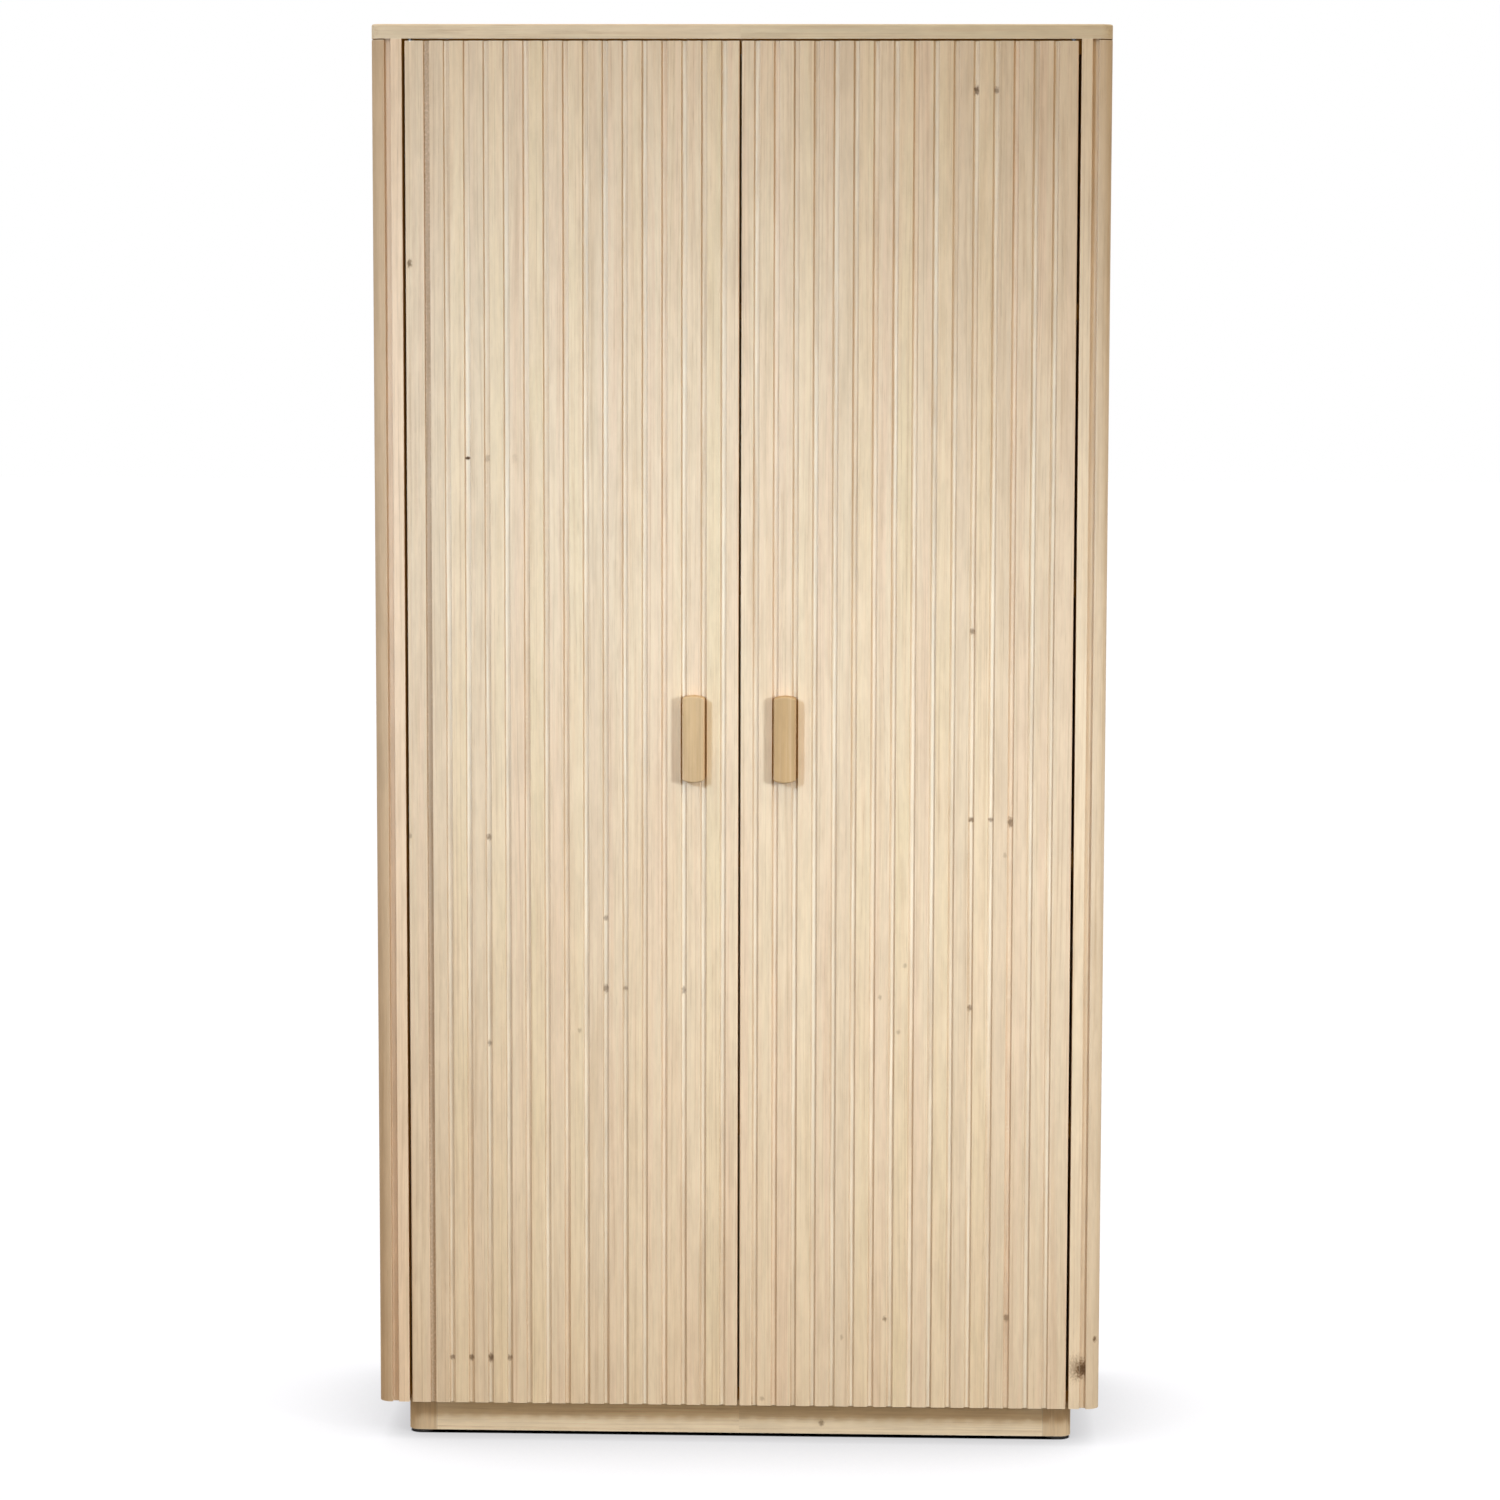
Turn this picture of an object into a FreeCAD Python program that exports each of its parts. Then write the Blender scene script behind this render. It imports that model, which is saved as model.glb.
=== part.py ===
import FreeCAD, Part
import math
import os
from types import SimpleNamespace

import Sketcher

# Slatted two-door cabinet in light oak, in millimetres.
# X runs to the right, Y to the back, Z up. The origin is on the floor, under the middle of the
# whole cabinet, handles included. Left-hand pieces are built, and right-hand ones are their mirrors.

# Driving sizes, in millimetres.
SIZES = {
    # Carcass
    "overall_width": 1025.0,
    "overall_height": 2000.0,
    "carcass_depth": 450.0,
    "top_thickness": 20.0,
    "bottom_thickness": 20.0,
    "back_thickness": 10.0,
    "back_rebate": 8.0,
    "back_clearance": 0.3,
    # Sides: a panel whose front edge shows as a flat strip, then a rebate, then the cladding
    "side_flat_width": 15.5,
    "side_rebate_width": 8.5,
    "side_rebate_depth": 6.0,
    "cladding_thickness": 19.0,
    "post_depth": 40.0,
    "corner_radius": 17.0,
    "shadow_gap": 1.5,
    # Slats of doors and sides
    "slat_thickness": 4.0,
    "groove_width": 7.8,
    "arris": 1.2,
    "top_arris": 2.5,
    # Doors
    "door_core_thickness": 20.0,
    "hinge_gap": 4.0,
    "meeting_gap": 3.0,
    "door_top_gap": 3.0,
    "door_back_gap": 2.5,
    "door_arris": 2.2,
    "hinge_slat_width": 26.3,
    "meeting_slat_width": 17.4,
    # Handles
    "handle_height": 122.0,
    "handle_proud": 19.0,
    "handle_crown": 3.5,
    "handle_corner": 3.5,
    "handle_arris": 2.5,
    "handle_slit": 2.1,
    "handle_toe_gap": 0.5,
    "handle_centre_height": 1010.0,
    "saddle_clearance": 0.2,
    "handle_screw_spacing": 64.0,
    "handle_screw_bite": 12.0,
    # Plinth and glides
    "plinth_height": 50.0,
    "plinth_inset": 38.0,
    "plinth_board_thickness": 22.0,
    "plinth_block": 40.0,
    "plinth_radius": 16.0,
    "glide_height": 5.0,
    "glide_radius": 16.0,
    "glide_stem_radius": 4.0,
    "glide_stem_length": 22.0,
    # Shelves and their supports
    "shelf_thickness": 22.0,
    "shelf_setback": 12.0,
    "shelf_end_gap": 1.0,
    "shelf_back_gap": 2.0,
    "support_radius": 2.5,
    "support_depth": 10.0,
    "support_inset": 50.0,
    "paddle_length": 12.0,
    "paddle_width": 9.0,
    "paddle_thickness": 3.0,
    # Pivot hinges
    "pivot_inset": 7.0,
    "eye_radius": 5.5,
    "neck_side": 3.0,
    "plate_thickness": 4.0,
    "plate_length": 64.0,
    "plate_width": 16.0,
    "plate_body_depth": 30.0,
    "plate_radius": 3.0,
    "pin_radius": 3.0,
    "pin_reach": 16.0,
    "bush_radius": 4.5,
    "bush_length": 18.0,
    "flange_radius": 5.5,
    "flange_thickness": 1.5,
    "washer_thickness": 1.0,
    "running_clearance": 0.05,
    "recess_clearance": 0.5,
    # Stop rail, catches, strikes and buffers
    "rail_height": 20.0,
    "rail_depth": 20.0,
    "catch_length": 44.0,
    "catch_height": 12.0,
    "catch_depth": 14.0,
    "catch_gap": 0.3,
    "catch_from_meeting": 16.0,
    "magnet_length": 26.0,
    "magnet_height": 6.0,
    "magnet_depth": 8.0,
    "strike_thickness": 1.5,
    "buffer_radius": 4.0,
    "buffer_from_meeting": 8.0,
    # Dowels and screws
    "dowel_radius": 4.0,
    "dowel_short": 14.0,
    "dowel_long": 22.0,
    "dowel_inset": 9.0,
    "screw_radius": 1.75,
    "screw_head_radius": 3.5,
    "screw_head_height": 2.5,
    "screw_bite": 12.0,
    "fit_clearance": 0.05,
    "overrun": 2.0,
}

SLATS_PER_DOOR = 17
SLATS_PER_SIDE = 13
SHELF_COUNT = 4
INNER_SLATS_BEFORE_HANDLE = 1

# Places along a piece, as shares of its length.
TOP_DOWEL_SHARES = (0.14, 0.38, 0.62, 0.86)
BOTTOM_DOWEL_SHARES = (0.2, 0.4, 0.6, 0.8)
PLATE_SCREW_SHARES = (0.42, 0.82)
BACK_SCREW_SHARES = (0.04, 0.27, 0.5, 0.73, 0.96)
BOTTOM_SCREW_SHARES = (-0.6, 0.0, 0.6)
RAIL_SCREW_SHARES = (-0.7, 0.0, 0.7)
CATCH_SCREW_SHARES = (0.1, 0.9)
HANDLE_SCREW_SHARES = (-0.5, 0.5)

doc = FreeCAD.newDocument("slatted_cabinet")
sheet = doc.addObject("Spreadsheet::Sheet", "Sheet")
for row, (alias, number) in enumerate(SIZES.items(), start=1):
    sheet.set(f"A{row}", alias)
    sheet.set(f"B{row}", str(number))
    sheet.setAlias(f"B{row}", alias)
doc.recompute()


class Size:
    """A length that follows the sheet: its expression, and its present value."""

    def __init__(self, text, value):
        self.text = text
        self.value = value

    def joined(self, sign, other, value):
        return Size(f"({self.text} {sign} {other.text})", value)

    def __add__(self, other):
        return self.joined("+", other, self.value + other.value)

    def __sub__(self, other):
        return self.joined("-", other, self.value - other.value)

    def __mul__(self, share):
        return Size(f"({self.text} * {share})", self.value * share)

    def __truediv__(self, count):
        return Size(f"({self.text} / {count})", self.value / count)

    def __neg__(self):
        return Size(f"(0 - {self.text})", -self.value)


def least(first, second):
    """The smaller of two sizes, such as a round that its wall limits."""
    return Size(f"min({first.text}; {second.text})", min(first.value, second.value))


def arc_radius(chord, rise):
    """The radius of an arc with this chord and this rise at its middle."""
    text = f"(({chord.text}) ^ 2 / (8 * {rise.text}) + {rise.text} / 2)"
    return Size(text, chord.value ** 2 / (8 * rise.value) + rise.value / 2)


s = SimpleNamespace(**{alias: Size(f"Sheet.{alias}", number) for alias, number in SIZES.items()})
zero = Size("0", 0.0)

# Planes and faces that the pieces share.
half_width = s.overall_width / 2
front = (s.handle_proud - s.carcass_depth) / 2
back = (s.handle_proud + s.carcass_depth) / 2
side_thickness = s.side_flat_width + s.side_rebate_width
side_outer = half_width - s.cladding_thickness
side_inner = side_outer - side_thickness
carcass_base = s.glide_height + s.plinth_height
carcass_height = s.overall_height - carcass_base - s.top_thickness
top_under = s.overall_height - s.top_thickness
bottom_over = carcass_base + s.bottom_thickness
cladding_height = carcass_height - s.shadow_gap
inner_back = back - s.back_thickness

door_thickness = s.slat_thickness + s.door_core_thickness
door_back = front + door_thickness
door_hinge_edge = s.hinge_gap - side_inner
door_width = side_inner - s.hinge_gap - s.meeting_gap / 2
door_height = carcass_height - s.door_top_gap
door_top = top_under - s.door_top_gap
stop_face = door_back + s.door_back_gap

inner_slats = SLATS_PER_DOOR - 2
inner_slat_room = door_width - s.hinge_slat_width - s.meeting_slat_width
inner_slat_width = (inner_slat_room - s.groove_width * (SLATS_PER_DOOR - 1)) / inner_slats
inner_slat_pitch = inner_slat_width + s.groove_width

axis_x = door_hinge_edge + s.pivot_inset
axis_y = front + s.pivot_inset
running_radius = s.pin_radius + s.running_clearance
rebate_top = carcass_base + s.plate_thickness + s.washer_thickness

parts = {}


def bind(thing, prop, size):
    thing.setExpression(prop, size.text)


def place(thing, corner):
    for letter, size in zip("xyz", corner):
        bind(thing, f"Placement.Base.{letter}", size)


def node(name, thing):
    """Keep a finished sub-part under the name of its file."""
    thing.Label = name
    parts[name] = thing
    return thing


def box(name, corner, length, width, height):
    """A board, from its lowest corner."""
    thing = doc.addObject("Part::Box", name)
    bind(thing, "Length", length)
    bind(thing, "Width", width)
    bind(thing, "Height", height)
    place(thing, corner)
    return thing


TURNS = {
    "+x": FreeCAD.Rotation(FreeCAD.Vector(0, 1, 0), 90),
    "-x": FreeCAD.Rotation(FreeCAD.Vector(0, 1, 0), -90),
    "+y": FreeCAD.Rotation(FreeCAD.Vector(1, 0, 0), -90),
    "-y": FreeCAD.Rotation(FreeCAD.Vector(1, 0, 0), 90),
    "+z": FreeCAD.Rotation(),
    "-z": FreeCAD.Rotation(FreeCAD.Vector(1, 0, 0), 180),
}


def cylinder(name, foot, radius, length, way="+z"):
    """A round bar from the centre of its foot, along one axis."""
    thing = doc.addObject("Part::Cylinder", name)
    bind(thing, "Radius", radius)
    bind(thing, "Height", length)
    thing.Placement = FreeCAD.Placement(FreeCAD.Vector(), TURNS[way])
    place(thing, foot)
    return thing


def fuse(name, pieces):
    thing = doc.addObject("Part::MultiFuse", name)
    thing.Shapes = pieces
    return thing


def group(name, pieces):
    """Like pieces that share a node, as separate solids."""
    thing = doc.addObject("Part::Compound", name)
    thing.Links = pieces
    return thing


def cut(name, base, tools):
    thing = doc.addObject("Part::Cut", name)
    thing.Base = base
    thing.Tool = tools[0] if len(tools) == 1 else fuse(f"{name}_tools", tools)
    return thing


def mirrored(name, source):
    """The right-hand twin of a left-hand shape."""
    thing = doc.addObject("Part::Mirroring", name)
    thing.Source = source
    thing.Normal = FreeCAD.Vector(1, 0, 0)
    return thing


def both(source):
    """A left-hand shape and its right-hand twin."""
    return [source, mirrored(f"{source.Name}_twin", source)]


def pair(name, left):
    """Keep a left-hand sub-part, and its mirror under the right-hand name."""
    node(f"left_{name}", left)
    node(f"right_{name}", mirrored(f"right_{name}", left))


def moved(point, way, size):
    """A point moved along one axis by a size."""
    place_in = "xyz".index(way[1])
    shifted = list(point)
    shifted[place_in] = point[place_in] + size if way[0] == "+" else point[place_in] - size
    return tuple(shifted)


# Sketched outlines

def origin_plane(body, role):
    return next(plane for plane in body.Origin.OriginFeatures if plane.Role == role)


def new_sketch(body, name, role="XY_Plane"):
    sketch = body.newObject("Sketcher::SketchObject", name)
    sketch.AttachmentSupport = (origin_plane(body, role), "")
    sketch.MapMode = "FlatFace"
    return sketch


def bind_constraint(sketch, index, size):
    name = f"size_{index}"
    sketch.renameConstraint(index, name)
    sketch.setExpression(f"Constraints.{name}", size.text)


def hold_line(sketch, line, upright, size):
    """Keep an upright or level line at its distance from the sketch's origin."""
    sketch.addConstraint(Sketcher.Constraint("Vertical" if upright else "Horizontal", line))
    axis = -2 if upright else -1
    if size is zero:
        sketch.addConstraint(Sketcher.Constraint("PointOnObject", line, 1, axis))
        return
    kind = "DistanceX" if upright else "DistanceY"
    index = sketch.addConstraint(Sketcher.Constraint(kind, -1, 1, line, 1, size.value))
    bind_constraint(sketch, index, size)


def draw_outline(sketch, corners):
    """A closed outline of square corners, anticlockwise, each (x, y, round or None)."""
    points = [FreeCAD.Vector(x.value, y.value, 0) for x, y, _ in corners]
    count = len(points)
    ways = [(points[(i + 1) % count] - points[i]).normalize() for i in range(count)]
    rounds = [corner[2].value if corner[2] else 0 for corner in corners]
    lines = []
    for i in range(count):
        start = points[i] + ways[i] * rounds[i]
        end = points[(i + 1) % count] - ways[i] * rounds[(i + 1) % count]
        lines.append(sketch.addGeometry(Part.LineSegment(start, end), False))
    for i, (x, y, radius) in enumerate(corners):
        before, after = lines[i - 1], lines[i]
        upright = abs(ways[i].x) < abs(ways[i].y)
        hold_line(sketch, after, upright, x if upright else y)
        if radius is None:
            sketch.addConstraint(Sketcher.Constraint("Coincident", before, 2, after, 1))
            continue
        centre = points[i] + (ways[i] - ways[i - 1]) * rounds[i]
        away = points[i] - ways[i - 1] * rounds[i] - centre
        angle = math.atan2(away.y, away.x)
        circle = Part.Circle(centre, FreeCAD.Vector(0, 0, 1), rounds[i])
        arc = sketch.addGeometry(Part.ArcOfCircle(circle, angle, angle + math.pi / 2), False)
        sketch.addConstraint(Sketcher.Constraint("Tangent", before, 2, arc, 1))
        sketch.addConstraint(Sketcher.Constraint("Tangent", arc, 2, after, 1))
        index = sketch.addConstraint(Sketcher.Constraint("Radius", arc, rounds[i]))
        bind_constraint(sketch, index, radius)


def pad_sketch(body, sketch, height):
    pad = body.newObject("PartDesign::Pad", f"{sketch.Name}_pad")
    pad.Profile = sketch
    bind(pad, "Length", height)
    body.Tip = pad
    return pad


def prism(name, corner, outline, height):
    """An upright piece of constant section, drawn in plan from its lowest corner."""
    body = doc.addObject("PartDesign::Body", name)
    sketch = new_sketch(body, f"{name}_plan")
    draw_outline(sketch, outline)
    pad_sketch(body, sketch, height)
    place(body, corner)
    return body


def plan(length, width, rounds=(None, None, None, None), start=zero):
    """A rectangle in plan: front left, front right, back right and back left corners."""
    end = length if start is zero else start + length
    spots = ((start, zero), (end, zero), (end, width), (start, width))
    return [(x, y, radius) for (x, y), radius in zip(spots, rounds)]


def row_of_slats(body, name, outline, height, pitch, count, axis):
    """One slat, repeated at its pitch along a sketch axis."""
    sketch = new_sketch(body, f"{name}_plan")
    draw_outline(sketch, outline)
    pad = pad_sketch(body, sketch, height)
    pattern = body.newObject("PartDesign::LinearPattern", f"{name}_row")
    pattern.Originals = [pad]
    pattern.Direction = (sketch, [axis])
    pattern.Mode = "Spacing"
    bind(pattern, "Offset", pitch)
    pattern.Occurrences = count
    body.Tip = pattern


# Fasteners

def screw(name, head_centre, way, length, ease=zero):
    """A flat-headed screw from the middle of its head; with ease it is the hole for one."""
    overrun = zero if ease is zero else s.overrun
    start = head_centre if ease is zero else moved(head_centre, way, -overrun)
    head = cylinder(f"{name}_head", start, s.screw_head_radius + ease,
                    s.screw_head_height + overrun, way)
    shank = cylinder(f"{name}_shank", head_centre, s.screw_radius + ease, length + ease, way)
    return fuse(name, [head, shank])


def screw_hole(name, head_centre, way, length):
    return screw(name, head_centre, way, length, s.fit_clearance)


def dowel(name, joint, way, reach_back, reach_on):
    """A dowel across a joint face, reaching back and on from it."""
    return cylinder(name, moved(joint, way, -reach_back), s.dowel_radius, reach_back + reach_on, way)


def dowel_hole(name, joint, way, reach_back, reach_on):
    foot = moved(joint, way, -(reach_back + s.fit_clearance))
    length = reach_back + reach_on + s.fit_clearance * 2
    return cylinder(name, foot, s.dowel_radius + s.fit_clearance, length, way)


# Places of the joints and fasteners, left-hand ones first.

side_middle_x = -(side_inner + side_thickness / 2)
top_dowel_spots = [(side_middle_x, front + s.carcass_depth * share, top_under)
                   for share in TOP_DOWEL_SHARES]
bottom_dowel_spots = [(-side_inner, front + s.carcass_depth * share, carcass_base + s.bottom_thickness / 2)
                      for share in BOTTOM_DOWEL_SHARES]

block_outer = half_width - s.plinth_inset
block_inner = block_outer - s.plinth_block
plinth_front = front + s.plinth_inset
plinth_back = back - s.plinth_inset
block_middle_x = -(block_outer - s.plinth_block / 2)
block_middles_y = (plinth_front + s.plinth_block / 2, plinth_back - s.plinth_block / 2)
plinth_dowel_x = -(block_inner + s.dowel_inset)
plinth_dowels_y = (plinth_front + s.plinth_block - s.dowel_inset,
                   plinth_back - s.plinth_block + s.dowel_inset)
plinth_dowel_spots = [(plinth_dowel_x, y, carcass_base) for y in plinth_dowels_y]

plate_left = axis_x - s.eye_radius
plate_front = axis_y - s.eye_radius
top_plate_screw_spots = [(plate_left + s.plate_length * share, plate_front + s.plate_width / 2, top_under)
                         for share in PLATE_SCREW_SHARES]
bottom_plate_screw_spots = [(plate_left + s.plate_length * share, stop_face + s.plate_body_depth / 2,
                             carcass_base) for share in PLATE_SCREW_SHARES]
plate_screw_length = s.plate_thickness + s.screw_bite

back_screw_length = s.back_thickness + s.screw_bite
back_side_screw_spots = [(-(side_inner + s.back_rebate / 2), back, carcass_base + carcass_height * share)
                         for share in BACK_SCREW_SHARES]
back_bottom_screw_spots = [(side_inner * share, back, carcass_base + s.bottom_thickness / 2)
                           for share in BOTTOM_SCREW_SHARES]

rail_under = top_under - s.rail_height
rail_screw_length = s.rail_height + s.screw_bite
rail_screw_spots = [(side_inner * share, stop_face + s.rail_depth / 2, rail_under)
                    for share in RAIL_SCREW_SHARES]

catch_right = -(s.meeting_gap / 2 + s.catch_from_meeting)
catch_left = catch_right - s.catch_length
catch_front = door_back + s.catch_gap
catch_under = rail_under - s.catch_height
catch_screw_length = s.catch_height + s.screw_bite
catch_screw_y = catch_front + s.catch_depth - s.screw_head_radius - s.screw_radius
catch_screw_spots = [(catch_left + s.catch_length * share, catch_screw_y, catch_under)
                     for share in CATCH_SCREW_SHARES]
magnet_left = catch_left + (s.catch_length - s.magnet_length) / 2
magnet_under = catch_under + (s.catch_height - s.magnet_height) / 2

shelf_front = door_back + s.shelf_setback
shelf_end = inner_back - s.shelf_back_gap
shelf_room = (top_under - bottom_over - s.shelf_thickness * SHELF_COUNT) / (SHELF_COUNT + 1)
shelf_unders = [bottom_over + shelf_room * (i + 1) + s.shelf_thickness * i for i in range(SHELF_COUNT)]
support_middle_drop = s.paddle_thickness / 2
support_spots = [(-side_inner, y, under - support_middle_drop)
                 for under in shelf_unders
                 for y in (shelf_front + s.support_inset, shelf_end - s.support_inset)]

handle_x = -(s.meeting_gap / 2 + s.meeting_slat_width + inner_slat_pitch * INNER_SLATS_BEFORE_HANDLE
             + s.groove_width + inner_slat_width / 2)
handle_width = inner_slat_width + (s.groove_width - s.handle_slit) * 2
handle_foot = s.handle_centre_height - s.handle_height / 2
handle_screw_length = door_thickness + s.handle_screw_bite
handle_screw_spots = [(handle_x, door_back, s.handle_centre_height + s.handle_screw_spacing * share)
                      for share in HANDLE_SCREW_SHARES]


# Carcass

def make_top_panel():
    """The top, rounded in plan at the front, with an eased upper edge and the let-in pivot plates."""
    corner = least(s.corner_radius, s.cladding_thickness - s.arris)
    body = prism("top_board", (-half_width, front, top_under),
                 plan(s.overall_width, s.carcass_depth, (corner, corner, None, None)), s.top_thickness)
    doc.recompute()
    upper = max(range(len(body.Tip.Shape.Faces)), key=lambda i: body.Tip.Shape.Faces[i].CenterOfMass.z)
    eased = body.newObject("PartDesign::Fillet", "top_board_eased")
    eased.Base = (doc.getObject("top_board_plan_pad"), [f"Face{upper + 1}"])
    bind(eased, "Radius", s.top_arris)
    body.Tip = eased
    ease = s.recess_clearance
    recess = box("top_plate_recess", (plate_left - ease, plate_front - ease, top_under - s.overrun),
                 s.plate_length + ease * 2, s.plate_width + ease * 2, s.plate_thickness + s.overrun)
    tools = both(recess)
    for i, spot in enumerate(top_dowel_spots):
        tools += both(dowel_hole(f"top_dowel_hole_{i}", spot, "+z", s.dowel_long, s.dowel_short))
    for i, spot in enumerate(top_plate_screw_spots):
        tools += both(screw_hole(f"top_plate_hole_{i}", spot, "+z", plate_screw_length))
    tools += [screw_hole(f"top_rail_hole_{i}", spot, "+z", rail_screw_length)
              for i, spot in enumerate(rail_screw_spots)]
    node("top_panel", cut("top_panel", body, tools))


def make_side_panels():
    """A board with a rebate along its front edge and one for the back panel."""
    thick, depth = side_thickness, s.carcass_depth
    outline = [
        (s.side_rebate_width, zero, s.arris),
        (thick, zero, s.arris),
        (thick, depth - s.back_thickness, None),
        (thick - s.back_rebate, depth - s.back_thickness, None),
        (thick - s.back_rebate, depth, None),
        (zero, depth, None),
        (zero, s.side_rebate_depth, None),
        (s.side_rebate_width, s.side_rebate_depth, None),
    ]
    board = prism("side_board", (-side_outer, front, carcass_base), outline, carcass_height)
    tools = [dowel_hole(f"side_top_hole_{i}", spot, "+z", s.dowel_long, s.dowel_short)
             for i, spot in enumerate(top_dowel_spots)]
    tools += [dowel_hole(f"side_bottom_hole_{i}", spot, "+x", s.dowel_short, s.dowel_long)
              for i, spot in enumerate(bottom_dowel_spots)]
    tools += [screw_hole(f"side_back_hole_{i}", spot, "-y", back_screw_length)
              for i, spot in enumerate(back_side_screw_spots)]
    tools += [cylinder(f"side_support_hole_{i}", moved(spot, "-x", s.support_depth + s.fit_clearance),
                       s.support_radius + s.fit_clearance, s.support_depth + s.overrun, "+x")
              for i, spot in enumerate(support_spots)]
    pair("side_panel", cut("left_side_panel", board, tools))


def make_side_cladding():
    """Corner posts, a backing board between them and slats on the backing."""
    corner = least(s.corner_radius, s.cladding_thickness - s.arris)
    rounds = (corner, s.arris, None, s.arris)
    pair("front_post", prism("front_post", (-half_width, front, carcass_base),
                             plan(s.cladding_thickness, s.post_depth, rounds), cladding_height))
    rounds = (s.arris, None, None, s.arris)
    pair("rear_post", prism("rear_post", (-half_width, back - s.post_depth, carcass_base),
                            plan(s.cladding_thickness, s.post_depth, rounds), cladding_height))
    room = s.carcass_depth - s.post_depth * 2
    backing_front = front + s.post_depth
    pair("side_backing", box("side_backing", (s.slat_thickness - half_width, backing_front, carcass_base),
                             s.cladding_thickness - s.slat_thickness, room, cladding_height))
    width = (room - s.groove_width * (SLATS_PER_SIDE + 1)) / SLATS_PER_SIDE
    slats = doc.addObject("PartDesign::Body", "side_slats")
    row_of_slats(slats, "side_slat", plan(s.slat_thickness, width, rounds), cladding_height,
                 width + s.groove_width, SLATS_PER_SIDE, "V_Axis")
    place(slats, (-half_width, backing_front + s.groove_width, carcass_base))
    pair("side_slats", slats)


def make_bottom_panel():
    """The bottom, behind the doors, with the lower pivot plates let into its underside."""
    board = box("bottom_board", (-side_inner, stop_face, carcass_base),
                side_inner * 2, inner_back - stop_face, s.bottom_thickness)
    ease = s.recess_clearance
    recess = box("bottom_plate_recess", (plate_left - ease, stop_face - s.overrun, carcass_base - s.overrun),
                 s.plate_length + ease * 2, s.plate_body_depth + ease + s.overrun,
                 s.plate_thickness + s.overrun)
    tools = both(recess)
    for i, spot in enumerate(bottom_dowel_spots):
        tools += both(dowel_hole(f"bottom_dowel_hole_{i}", spot, "+x", s.dowel_short, s.dowel_long))
    for i, spot in enumerate(plinth_dowel_spots):
        tools += both(dowel_hole(f"bottom_plinth_hole_{i}", spot, "+z", s.dowel_long, s.dowel_short))
    for i, spot in enumerate(bottom_plate_screw_spots):
        tools += both(screw_hole(f"bottom_plate_hole_{i}", spot, "+z", plate_screw_length))
    tools += [screw_hole(f"bottom_back_hole_{i}", spot, "-y", back_screw_length)
              for i, spot in enumerate(back_bottom_screw_spots)]
    node("bottom_panel", cut("bottom_panel", board, tools))


def make_back_panel():
    reach = side_inner + s.back_rebate - s.back_clearance
    board = box("back_board", (-reach, inner_back, carcass_base), reach * 2, s.back_thickness, carcass_height)
    tools, screws = [], []
    for i, spot in enumerate(back_side_screw_spots):
        tools += both(screw_hole(f"back_side_hole_{i}", spot, "-y", back_screw_length))
        screws += both(screw(f"back_side_screw_{i}", spot, "-y", back_screw_length))
    for i, spot in enumerate(back_bottom_screw_spots):
        tools.append(screw_hole(f"back_bottom_hole_{i}", spot, "-y", back_screw_length))
        screws.append(screw(f"back_bottom_screw_{i}", spot, "-y", back_screw_length))
    node("back_panel", cut("back_panel", board, tools))
    node("back_screws", group("back_screws", screws))


def make_dowels():
    carcass, plinth = [], []
    for i, spot in enumerate(top_dowel_spots):
        carcass += both(dowel(f"top_dowel_{i}", spot, "+z", s.dowel_long, s.dowel_short))
    for i, spot in enumerate(bottom_dowel_spots):
        carcass += both(dowel(f"bottom_dowel_{i}", spot, "+x", s.dowel_short, s.dowel_long))
    for i, spot in enumerate(plinth_dowel_spots):
        plinth += both(dowel(f"plinth_dowel_{i}", spot, "+z", s.dowel_long, s.dowel_short))
    node("carcass_dowels", group("carcass_dowels", carcass))
    node("plinth_dowels", group("plinth_dowels", plinth))


# Shelves

def make_shelves():
    reach = side_inner - s.shelf_end_gap
    for i, under in enumerate(shelf_unders, start=1):
        node(f"shelf_{i}", box(f"shelf_{i}", (-reach, shelf_front, under), reach * 2,
                               shelf_end - shelf_front, s.shelf_thickness))


def make_shelf_supports():
    """A pin in the side panel, with a flat paddle under the shelf."""
    supports = []
    for i, spot in enumerate(support_spots):
        x, y, z = spot
        pin = cylinder(f"support_pin_{i}", moved(spot, "-x", s.support_depth), s.support_radius,
                       s.support_depth, "+x")
        paddle = box(f"support_paddle_{i}", (x, y - s.paddle_width / 2, z - support_middle_drop),
                     s.paddle_length, s.paddle_width, s.paddle_thickness)
        supports += both(fuse(f"support_{i}", [pin, paddle]))
    node("shelf_supports", group("shelf_supports", supports))


# Plinth

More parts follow.
